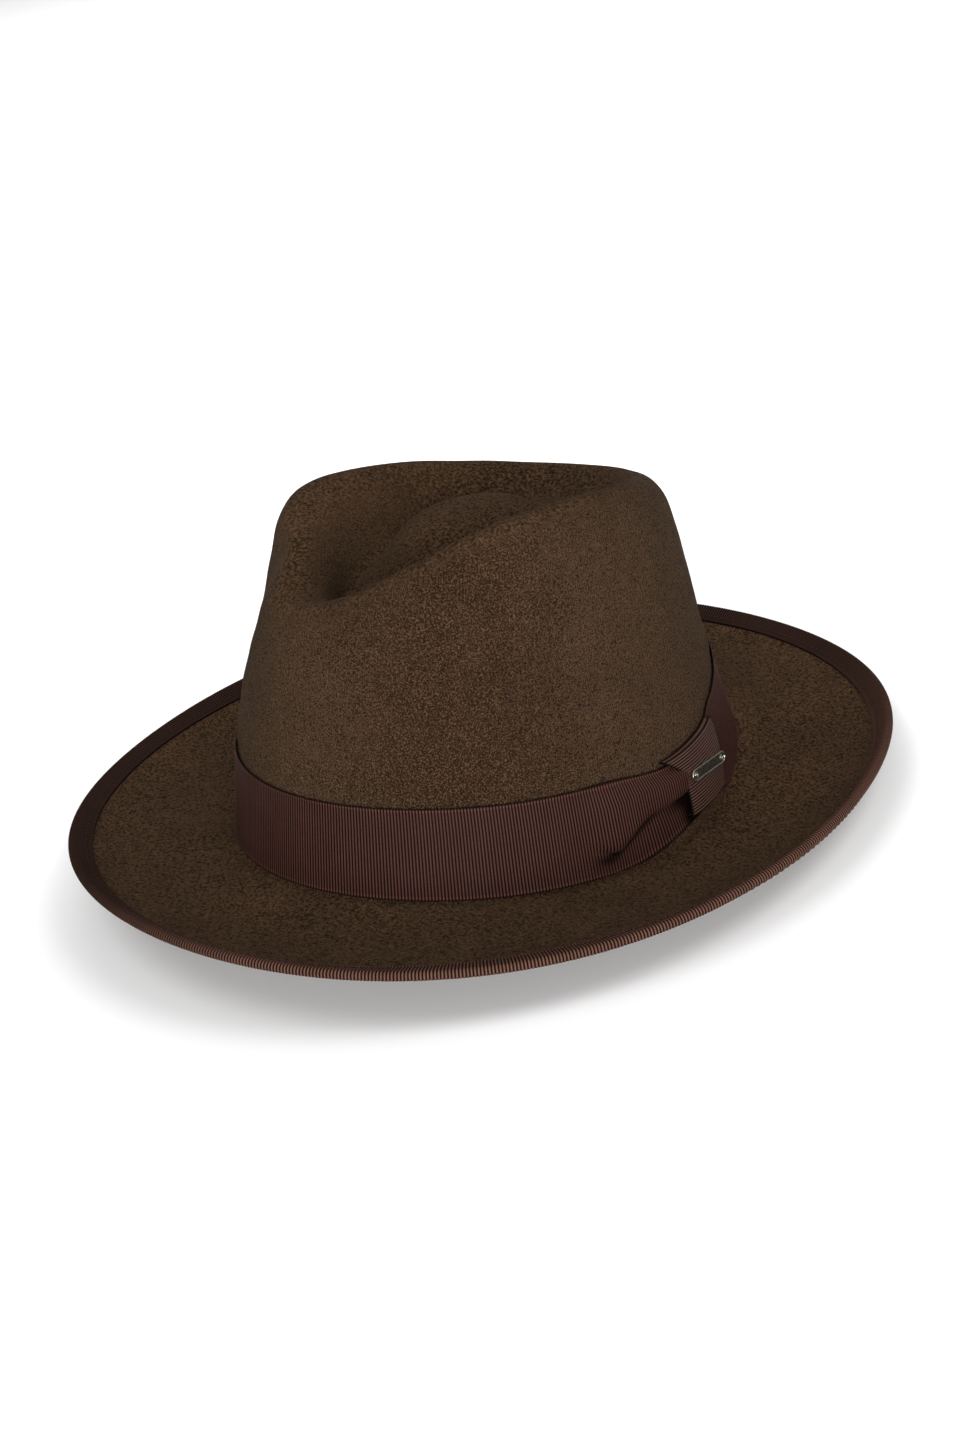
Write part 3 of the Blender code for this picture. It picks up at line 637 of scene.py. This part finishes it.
def leather_look():
    """Brown leather with a fine pebbled grain."""
    made, shader = look_of("brown_leather", 0.48, Specular_IOR_Level=0.5)
    nodes = Nodes(made)
    cells = nodes.add("ShaderNodeTexVoronoi", Vector=nodes.spot, Scale=1 / 0.0011)
    cells.feature = "SMOOTH_F1"
    cloud = nodes.spread(nodes.noise(0.018, 3.0), 0.3, 0.7)
    grain = nodes.spread(cells.outputs["Distance"], 0.0, 0.7)
    colour = nodes.blend(cloud, (0.060, 0.028, 0.013), (0.115, 0.058, 0.028))
    nodes.put(shader.inputs["Base Color"], nodes.blend(grain, colour, (0.045, 0.020, 0.009)))
    nodes.put(shader.inputs["Roughness"], nodes.spread(grain, 0, 1, 0.42, 0.60))
    nodes.put(shader.inputs["Normal"], nodes.bump(grain, -0.00010, 0.8))
    return made


def satin_look():
    """Bronze satin with a fine upright warp."""
    made, shader = look_of("bronze_satin", 0.30, Specular_IOR_Level=0.6, Anisotropic=0.5, Sheen_Weight=0.15)
    nodes = Nodes(made)
    warp = nodes.spread(nodes.noise(0.0005, 2.0, 0.5, (1, 1, 0.08)), 0.3, 0.7)
    cloud = nodes.spread(nodes.noise(0.020, 3.0), 0.3, 0.7)
    colour = nodes.blend(cloud, (0.085, 0.048, 0.026), (0.150, 0.088, 0.050))
    nodes.put(shader.inputs["Base Color"], nodes.blend(warp, colour, (0.070, 0.038, 0.020)))
    nodes.put(shader.inputs["Roughness"], nodes.spread(warp, 0, 1, 0.26, 0.40))
    nodes.put(shader.inputs["Normal"], nodes.bump(warp, 0.00004, 0.6))
    return made


FELT_LOOK = felt_look()
# Each ribbon's first colour is painted shade for its grooves, and the second is its rib tops' colour.
BAND_LOOK = ribbon_look("band_grosgrain", (0.0026, 0.0010, 0.0007), (0.0860, 0.0356, 0.0270), 0.60, 0.04)
EDGE_LOOK = ribbon_look("edge_grosgrain", (0.0036, 0.0018, 0.0013), (0.155, 0.078, 0.0560), 0.60, 0.01)
KNOT_LOOK = ribbon_look("knot_grosgrain", (0.0012, 0.0006, 0.0005), (0.118, 0.062, 0.0470), 0.50, 0.05)
THREAD_LOOK = thread_look()
PLATE_LOOK = metal_look("dark_pewter", (0.040, 0.036, 0.028), (0.17, 0.155, 0.125), 0.42)
BRIGHT_LOOK = metal_look("bright_pewter", (0.24, 0.22, 0.18), (0.50, 0.47, 0.41), 0.26)
LEATHER_LOOK = leather_look()
SATIN_LOOK = satin_look()


# Pieces.
def uneven(points, height, seed):
    """Smooth random rises and falls, as hand-blocked felt has, of about this height."""
    draw = np.random.default_rng(seed)
    total = 0
    for _ in range(14):
        heading = draw.normal(size=3)
        heading /= np.linalg.norm(heading)
        length = draw.uniform(0.014, 0.050)
        total = total + np.sin(points @ heading * (2 * math.pi / length) + draw.uniform(0, 2 * math.pi))
    return total / math.sqrt(14) * height


def felt_body():
    """Crown and brim in one piece: the inner face out from the middle, then the outer face back in."""
    at = face(around(400))
    outer = np.concatenate([np.linspace(0, 1.2, 6), np.linspace(1.4, 6, 26), np.linspace(6.15, 8, 14),
                            np.linspace(8.5, 11, 6), np.linspace(11.1, 12, 8), np.linspace(12.15, 16.5, 40),
                            np.linspace(16.7, MIDDLE, 24)])
    inner = np.concatenate([np.linspace(MIDDLE, 7.5, 36), np.linspace(7, 0, 28)])
    rows = [at(ring, FELT) for ring in inner]
    for ring in outer:
        free = ease((ring - 1.1) / 0.8) * (1 - ease((ring - 6) / 0.8)) + ease((ring - 11.4) / 0.8)
        over_band = math.exp(-(((ring - 11.30) / 0.20) ** 2)) * ease((ring - 11.0) / 0.12)
        rows.append(at(ring, -uneven(at(ring), NAP_RISE, FELT_SEED) * free - OVER_BAND * over_band))
    mesh = mesh_of("fine_felt_body", np.array(rows), closed=True, poles=(True, True))
    show("fine_felt_body", mesh, FELT_LOOK, "felt", "felt_body")


def brim_binding():
    """Ribbed ribbon folded round the brim's edge, with a raised selvedge at its two inner ends."""
    turns, along = measured(0.3)
    where, rib = ribs_along(along[-1])
    turn = np.interp(where * along[-1], along, turns)
    at = face(turn)
    over, under = at(0, -EDGE_GAP), at(0, FELT + EDGE_GAP)
    middle, up = (over + under) / 2, (over - under) / 2
    radius = np.linalg.norm(up, axis=1)[:, None]
    up = up / radius
    out = at(0) - at(0.1)
    out -= up * (out * up).sum(1)[:, None]
    out /= np.linalg.norm(out, axis=1)[:, None]
    # Painted light and shade: the side round the given turn is painted lighter, the other side darker.
    lit_side = ease((np.cos(turn - math.radians(LIT_SIDE_TURN)) - LIT_SIDE_LOW) / LIT_SIDE_SPAN)
    light = mix((FACE_SHADE, 1.0), lit_side)

    def ends(ring):
        """1 at the ribbon's inner end, where it thins out and its colour is painted dark as the edge's
        shadow, and 0 elsewhere.
        """
        return 1 - ease((1.0 - ring) / END_RINGS)

    rows, shade = [], []
    for ring in UPPER_RINGS:
        bead = SELVEDGE * math.exp(-(((ring - BEAD_RING) / BEAD_SPREAD) ** 2))
        thick = EDGE_RIBBON * (1 - 0.9 * ends(ring)) + EDGE_RIB * rib * (1 - ends(ring))
        rows.append(at(ring, -(EDGE_GAP + bead + thick)))
        shade.append(rib * (1 - ends(ring)) * light)
    for angle in np.radians(FOLD_ANGLES):
        size = radius + EDGE_RIBBON + (EDGE_RIB * rib)[:, None]
        rows.append(middle + (up * math.cos(angle) + out * math.sin(angle)) * size)
        shade.append(rib * light)
    for ring in UNDER_RINGS:
        thick = EDGE_RIBBON * (1 - 0.9 * ends(ring)) + EDGE_RIB * rib * (1 - ends(ring))
        rows.append(at(ring, FELT + EDGE_GAP + thick))
        shade.append(rib * (1 - ends(ring)))
    back = EDGE_GAP * 0.5
    for ring, depth in ((1.0, FELT + back), (0.0, FELT + back), (0.0, -back), (1.0, -back)):
        rows.append(at(ring, depth))
        shade.append(0 * rib)
    mesh = mesh_of("fine_brim_binding", np.array(rows)[::-1], closed=True, looped=True)
    paint(mesh, "rib", np.array(shade)[::-1])
    piece = show("fine_brim_binding", mesh, EDGE_LOOK, "ribbon", "brim_binding")


def binding_stitches():
    """The seams that hold the binding, one on each face of the brim."""
    at = face(np.linspace(0, 2 * math.pi, 721))
    above = EDGE_GAP + EDGE_RIBBON + EDGE_RIB
    for node, depth in (("binding_stitch_top", -above), ("binding_stitch_under", FELT + above)):
        stitches("fine_" + node, at(STITCH_RING, depth), THREAD, STITCH, STITCH_GAP, THREAD_LOOK, "thread",
                 node)


def crease_height(turn):
    """Lower edge of the gather's upper ply: it climbs from the band's foot to the knot."""
    return mix(CREASE_HEIGHTS, ease((turn - CREASE_TURN) / CREASE_SPAN))


def hat_band():
    """One ribbon round the crown.  Its front end is gathered in a fold: the lower ply runs up behind
    the upper one, turns down again to the crease, and the upper ply goes on up to the top edge."""
    low, high = height_at(BAND_FOOT), height_at(BAND_TOP)
    turns, along = measured(9, math.radians(FOLD_ENDS), math.radians(FOLD_ENDS) + 2 * math.pi)
    where, rib = ribs_along(along[-1])
    turn = np.interp(where * along[-1], along, turns)
    degrees = np.degrees(turn) % 360
    last = (degrees > FOLD_STARTS) & (degrees <= FOLD_ENDS) & (where > 0.5)
    gather = np.where(last, 1.0, 0.0)
    beyond = (1 - ease((degrees - FOLD_ENDS - BEYOND_TURN) / BEYOND_SPAN)) * (where < 0.5)
    fold = ease((degrees - FOLD_STARTS) / FOLD_SPAN) * gather
    swell = ease((degrees - SWELL_TURN) / SWELL_SPAN) * gather
    foot = low + mix(FOOT_HEIGHTS, ease((degrees - FOOT_TURN) / FOOT_SPAN)) * gather
    top = high - TOP_DROP * ease((degrees - TOP_TURN) / TOP_SPAN) * gather
    plain_foot, plain_top = low + FOOT_HEIGHTS[1] * beyond, high - TOP_DROP * beyond
    crease = crease_height(degrees)
    tuck = np.maximum((high - low - (top - foot)) / 2, 0) + TUCK_SLACK * fold
    knot_shadow = np.exp(-(((degrees - KNOT_TURNS[0]) / KNOT_SHADOW) ** 2))
    rows, shade = [], []
    for v in BAND_ROWS:
        below = np.clip(v / FOLD_SHARE, 0, 1)
        back = np.clip((v - FOLD_SHARE) / FOLD_BACK, 0, 1)
        above = np.clip((v - FOLD_SHARE - FOLD_BACK) / (1 - FOLD_SHARE - FOLD_BACK), 0, 1)
        folded = foot + (crease + tuck - foot) * below + (top - crease) * above
        folded = folded - tuck * back * fold - tuck * (1 - fold) * ease(back * 9)
        plain = plain_foot + (plain_top - plain_foot) * v
        height = mix((plain, folded), fold)
        lift = PLY_STEP * (ease(back) + ease(above * 12)) * fold
        lift = lift + swell * PUFF * (np.sin(math.pi * above) ** PUFF_POWER if above > 0 else 0.0)
        lift = lift + FOOT_PUFF * fold * swell * np.sin(math.pi * below)
        lift = lift * (1 - HUG * ease((v - HUG_STARTS) / HUG_SPAN))
        edge = min(v, 1 - v) * (high - low)
        selvedge = math.exp(-(((edge - SELVEDGE_MIDDLE) / SELVEDGE_SPREAD) ** 2))
        grip = 0.35 + 0.65 * float(ease(edge / SELVEDGE_WIDTH))
        lean = FOOT_LEAN * fold * swell * (1 - below) * (v < FOLD_SHARE)
        lift = lift + SELVEDGE * selvedge + BAND_RIB * rib * grip
        rows.append(face(turn + lean)(ring_at(height), -(GAP + RIBBON + lift)))
        # Painted shade: the tucked rows are painted darker along the crease and beside the knot.
        tucked = fold * (v < FOLD_SHARE + FOLD_BACK)
        crease_and_knot_shade = np.exp(-(((crease - height) / CREVICE) ** 2)) + knot_shadow
        dark = np.minimum(CREVICE_SHADE * crease_and_knot_shade, 0.95) * tucked
        # The selvedge is painted lighter as a painted highlight.
        shade.append(rib * grip * (1 + SELVEDGE_SHINE * selvedge) * (1 - dark))
    mesh = mesh_of("fine_hat_band", np.array(rows))
    paint(mesh, "rib", np.array(shade))
    piece = thicken(show("fine_hat_band", mesh, BAND_LOOK, "ribbon", "hat_band", "band_pleat_upper",
                         "band_pleat_lower"), RIBBON * 0.8)


def sculpted(name, rows, columns, height, turn, lift, look, slot, node, thickness, rib=None):
    """A four-sided sheet on the wall from functions of v up it and u along it."""
    v, u = np.meshgrid(rows, columns, indexing="ij")
    spots = face(np.radians(turn(v, u).ravel()))(ring_at(height(v, u).ravel()), -lift(v, u).ravel())
    mesh = mesh_of(name, spots.reshape(*v.shape, 3))
    if rib is not None:
        paint(mesh, "rib", rib(v, u))
    return thicken(show(name, mesh, look, slot, node), thickness)


def bow_knot():
    """The short ribbon wrapped over the gathers, with its ribs running along the band."""
    run = KNOT_HEIGHTS[1] - KNOT_HEIGHTS[0] + 2 * KNOT_ROLL
    where, rib = ribs_along(run)
    columns = np.concatenate([[0, 0.012, 0.03, 0.06], np.linspace(0.1, 0.9, 25), [0.94, 0.97, 0.988, 1]])

    def roll(v):
        """How far round the top or bottom edge the ribbon has turned, from 0 to 1."""
        flat = 1 - 2 * KNOT_ROLL / run
        return np.clip((abs(2 * v - 1) - flat) / (1 - flat), 0, 1)

    def height(v, u):
        flat = np.clip((v * run - KNOT_ROLL) / (run - 2 * KNOT_ROLL), 0, 1)
        round_it = np.sin(roll(v) * math.pi / 2) * np.sign(v - 0.5)
        return mix(KNOT_HEIGHTS, flat) + KNOT_OVERHANG * round_it

    def turn(v, u):
        flare = KNOT_FLARE * ease((v - 0.68) / 0.30)
        waist = KNOT_WAIST * np.sin(math.pi * np.clip(v / 0.75, 0, 1))
        taper = KNOT_TAPER * (1 - ease(v / 0.4))
        return mix(KNOT_TURNS, u) - flare * (1 - u) - taper * u - waist * (2 * u - 1)

    def ribs(v):
        return np.interp(v, np.append(where, 1), np.append(rib, 0))

    def lift(v, u):
        side = KNOT_SIDE_DROP * abs(2 * u - 1) ** 3
        fall = (KNOT_LIFT - KNOT_END_LIFT) * (1 - np.cos(roll(v) * math.pi / 2))
        return KNOT_LIFT + KNOT_CROWN * np.sin(math.pi * v) - side - fall + KNOT_RIB * ribs(v)

    def shade(v, u):
        return ribs(v) * ease((1 - abs(2 * u - 1)) / 0.04)

    piece = sculpted("fine_bow_knot", np.append(where, 1), columns, height, turn, lift, KNOT_LOOK, "ribbon",
                     "bow_knot", RIBBON * 0.8, shade)


def wall_frame(height, turn, lift):
    """A place on the wall with x along the ribbon, y up it and z out of it."""
    ring, step = ring_at(height), 1e-3
    here = face(np.array([turn]))(ring, -lift)[0]
    along = Vector(face(np.array([turn + step]))(ring, -lift)[0] - here).normalized()
    up = Vector(face(np.array([turn]))(ring + step, -lift)[0] - here)
    out = along.cross(up).normalized()
    axes = Matrix((along, out.cross(along), out)).transposed()
    return Matrix.Translation(Vector(here)) @ axes.to_4x4()


def stadium(inset, points=20):
    """A closed outline with two round ends, this far inside the plate's edge."""
    radius = PLATE_WIDTH / 2 - inset
    straight = PLATE_LENGTH / 2 - PLATE_WIDTH / 2
    angles = np.linspace(-math.pi / 2, math.pi / 2, points)
    half = np.stack([straight + radius * np.cos(angles), radius * np.sin(angles)], -1)
    return np.concatenate([half, -half])


def ring_profile(outline, profile):
    """A closed moulding: outline(inset) swept through a profile of insets and shares of the plate's
    thickness."""
    return np.array([place(outline(inset), share * PLATE_THICKNESS) for inset, share in profile])


def eyelet(x, points=24):
    """A circle about this place along the plate, as a function of its radius."""
    angles = np.arange(points) / points * 2 * math.pi
    circle = np.stack([np.cos(angles), np.sin(angles)], -1)
    return lambda radius: circle * radius + (x, 0)


def name_plate():
    """The plate: a sunk field with two holes, inside a raised bright rim.  It carries no lettering."""
    thick = PLATE_THICKNESS
    field = bpy.data.curves.new("field", "CURVE")
    field.dimensions, field.fill_mode = "2D", "BOTH"
    field.extrude, field.bevel_depth, field.bevel_resolution = thick * 0.30, thick * 0.06, 2
    for outline in [stadium(FIELD_INSET)] + [eyelet(side * PIN_OFFSET)(PIN_HOLE) for side in (-1, 1)]:
        closed_run(field, place(outline, -thick * FIELD_DEPTH))
    mesh = mesh_of_curve("field", field)
    rims = [ring_profile(stadium, RIM_PROFILE)]
    for side in (-1, 1):
        rims.append(ring_profile(eyelet(side * PIN_OFFSET), EYELET_PROFILE))
    parts = [mesh] + [mesh_of("rim", grid, closed=True, looped=True) for grid in rims]
    whole = joined("fine_name_plate", parts)
    whole.materials.append(PLATE_LOOK)
    whole.transform(plate_frame())
    show("fine_name_plate", whole, BRIGHT_LOOK, "pewter", "name_plate")
    for number, polygon in enumerate(whole.polygons):
        polygon.material_index = 0 if number < len(mesh.polygons) else 1


def plate_frame():
    """Where the plate lies: over the knot and tilted."""
    place_it = wall_frame(PLATE_HEIGHT, math.radians(PLATE_TURN), PLATE_LIFT)
    return place_it @ Matrix.Rotation(math.radians(PLATE_TILT), 4, "Z")


def plate_pins():
    """A domed pin through each hole of the plate."""
    for node, side in (("plate_pin_front", -1), ("plate_pin_rear", 1)):
        circle = eyelet(side * PIN_OFFSET, 20)
        grid = np.array([place(circle(PIN_RADIUS * share), height) for share, height in PIN_PROFILE])
        mesh = mesh_of("fine_" + node, grid, closed=True, poles=(True, True))
        mesh.transform(plate_frame())
        show("fine_" + node, mesh, BRIGHT_LOOK, "pewter", node)


def band_tacks():
    """Short stitches over the ribbon's top edge that hold the band to the felt."""
    for node, degrees in TACK_TURNS.items():
        at = face(np.radians([degrees, degrees, degrees + TACK_SLANT, degrees + TACK_SLANT]))
        spots = at(ring_at(np.array(TACK_HEIGHTS)), -np.array(TACK_LIFTS))
        stitches("fine_" + node, spots, THREAD, 1.0, 0.0, THREAD_LOOK, "thread", node)


# Inside the hat.
def sweatband():
    """The leather: a leaf up the inside of the opening, its foot rolled round the reed."""
    turn = around(300)
    at = face(turn)
    inward = place(-outward(head, turn), 0.0)
    radius = REED_RADIUS + GAP + LEATHER
    line = at(SWEATBAND_FOOT, SWEATBAND_DEPTH) + inward * radius
    rows = []
    for angle in np.radians(np.arange(215, 25, -12)):
        rows.append(line + radius * (np.array([0, 0, -math.sin(angle)]) - inward * math.cos(angle)))
    for ring in np.linspace(SWEATBAND_FOOT, ring_at(SWEATBAND_HEIGHT), 26):
        loose = uneven(at(ring), LEATHER_RISE, LEATHER_SEED) + LEATHER_RISE
        rows.append(at(ring, SWEATBAND_DEPTH + loose))
    mesh = mesh_of("fine_sweatband", np.array(rows), closed=True)
    piece = thicken(show("fine_sweatband", mesh, LEATHER_LOOK, "leather", "sweatband"), LEATHER * 0.85)
    length = float(measured(9)[1][-1])


def sweatband_trim():
    """Stitches above the reed, the back seam, the small bow over it and the blank size label."""
    turn = np.linspace(0, 2 * math.pi, 541)
    depth = LEATHER_FACE + 2 * GAP
    line = face(turn)(ring_at(STITCH_HEIGHT), depth)
    stitches("fine_sweatband_stitching", line, THREAD, STITCH, STITCH_GAP, THREAD_LOOK, "thread",
             "sweatband_stitching")
    zigzag = np.radians(180 + SEAM_HALF_TURN * (np.arange(SEAM_STEPS) % 2 * 2 - 1))
    line = face(zigzag)(ring_at(np.linspace(*SEAM_HEIGHTS, SEAM_STEPS)), depth)
    stitches("fine_sweatband_seam", line, THREAD, SEAM_STITCH, SEAM_GAP, THREAD_LOOK, "thread",
             "sweatband_seam")
    v, u = np.linspace(0, 1, 9), np.linspace(0, 1, 61)

    def bow_height(v, u):
        spread = SEAM_BOW_WAIST + SEAM_BOW_FLARE * abs(2 * u - 1) ** 0.7
        return SEAM_BOW_HEIGHT + spread * (2 * v - 1)

    def bow_turn(v, u):
        return 180 + SEAM_BOW_HALF_TURN * (2 * u - 1)

    def bow_lift(v, u):
        pleat = 0.00025 * np.cos(6 * math.pi * v) * np.exp(-(((2 * u - 1) / 0.35) ** 2))
        return -(LEATHER_FACE + 4 * GAP) + pleat

    bow = sculpted("fine_sweatband_bow", v, u, bow_height, bow_turn, bow_lift, EDGE_LOOK, "ribbon",
                   "sweatband_bow", RIBBON, lambda v, u: 0.5 + 0.5 * np.cos(u * 60 * math.pi))
    label = sculpted("fine_size_label", np.linspace(0, 1, 13), np.linspace(0, 1, 13),
                     lambda v, u: mix(LABEL_HEIGHTS, v), lambda v, u: mix(LABEL_TURNS, u),
                     lambda v, u: -(LEATHER_FACE + 3 * GAP) - 0.0002 * (abs(2 * v - 1) > 0.9) + 0 * u,
                     SATIN_LOOK, "satin", "size_label", SATIN)


def lining():
    """Satin wall with soft gathers, satin tip under the crown's top, and the piping between them."""
    turn = around(300)
    at = face(turn)
    rows = []
    for ring in np.linspace(10, 14, 30):
        loose = float(np.interp(ring, LINING_RINGS, LINING_LOOSE))
        gathers = 0.25 * loose * np.sin(48 * turn + 1.5 * np.sin(3 * turn))
        rows.append(at(ring, FELT + loose + gathers))
    mesh = mesh_of("fine_lining_side", np.array(rows), closed=True)
    side = thicken(show("fine_lining_side", mesh, SATIN_LOOK, "satin", "lining_side"), SATIN * 0.7)
    width = float(measured(10)[1][-1])
    rows = []
    for ring in np.linspace(15.6, MIDDLE, 40):
        rows.append(at(ring, FELT + TIP_LOOSE + 0.0002 * np.sin(5 * turn + ring)))
    mesh = mesh_of("fine_lining_tip", np.array(rows), closed=True, poles=(False, True))
    tip = thicken(show("fine_lining_tip", mesh, SATIN_LOOK, "satin", "lining_tip"), SATIN * 0.7)
    tube = bpy.data.curves.new("fine_lining_piping", "CURVE")
    tube.dimensions, tube.bevel_depth, tube.bevel_resolution = "3D", PIPING_RADIUS, 3
    closed_run(tube, at(PIPING_RING, FELT + PIPING_LOOSE + PIPING_RADIUS))
    mesh = mesh_of_curve("piping", tube)
    mesh.shade_smooth()
    show("fine_lining_piping", mesh, SATIN_LOOK, "satin", "lining_piping")


# The stage.
def direction(azimuth, elevation):
    """Unit vector from the hat at these angles in degrees, with azimuth 0 in front of the hat."""
    a, e = math.radians(azimuth), math.radians(elevation)
    return Vector((math.sin(a) * math.cos(e), -math.cos(a) * math.cos(e), math.sin(e)))


def camera():
    """The camera, aimed at the break's centre and set off from it across and up the picture."""
    azimuth, roll = math.radians(CAMERA_AZIMUTH), math.radians(CAMERA_ROLL)
    back = direction(CAMERA_AZIMUTH, CAMERA_ELEVATION)
    right = Vector((math.cos(azimuth), math.sin(azimuth), 0))
    up = back.cross(right)
    across = right * math.cos(roll) + up * math.sin(roll)
    upward = up * math.cos(roll) - right * math.sin(roll)
    made = bpy.data.objects.new("camera", bpy.data.cameras.new("camera"))
    bpy.context.scene.collection.objects.link(made)
    made.data.lens = CAMERA_LENS
    made.data.clip_start = 0.01
    spot = back * CAMERA_DISTANCE - across * CAMERA_OFF[0] - upward * CAMERA_OFF[1]
    made.matrix_world = Matrix.Translation(spot) @ Matrix((across, upward, back)).transposed().to_4x4()
    bpy.context.scene.camera = made


def lights():
    """Round softboxes aimed at the hat, one aimed at the floor behind it, and an even grey world."""
    centre = Vector((0, 0, LIGHTS_AIM))
    for name, (azimuth, elevation, distance, size, power) in LIGHTS.items():
        lamp = bpy.data.lights.new(name, "AREA")
        lamp.shape, lamp.size, lamp.energy = "DISK", size, power
        made = bpy.data.objects.new(name, lamp)
        bpy.context.scene.collection.objects.link(made)
        made.location = centre + direction(azimuth, elevation) * distance
        aim = direction(azimuth, 0) * BACKDROP_SPOT if name == "backdrop" else centre
        made.rotation_mode = "QUATERNION"
        made.rotation_quaternion = (made.location - aim).to_track_quat("Z", "Y")
    world = bpy.data.worlds.new("studio")
    world.use_nodes = True
    background = world.node_tree.nodes["Background"]
    background.inputs["Color"].default_value = (1, 1, 1, 1)
    background.inputs["Strength"].default_value = WORLD_LIGHT
    bpy.context.scene.world = world


def floor():
    """A wide pale floor, just under the hat."""
    look, shader = look_of("pale_floor", 0.9, Specular_IOR_Level=0.1)
    nodes = Nodes(look)
    tone = nodes.spread(nodes.noise(0.4, 2.0), 0.3, 0.7)
    nodes.put(shader.inputs["Base Color"], nodes.blend(tone, (0.92, 0.92, 0.92), (0.95, 0.95, 0.95)))
    bpy.ops.mesh.primitive_plane_add(size=30, location=(0, 0, CAD_BOX[0].z - 0.0003))
    made = bpy.context.object
    made.name = "floor"
    made.data.materials.append(look)


felt_body()
brim_binding()
binding_stitches()
hat_band()
bow_knot()
name_plate()
plate_pins()
band_tacks()
sweatband()
sweatband_trim()
lining()
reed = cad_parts["sweatband_reed"]
reed.data.materials.clear()
reed.data.materials.append(THREAD_LOOK)
floor()
lights()
camera()
bpy.context.scene.view_settings.view_transform = "Standard"
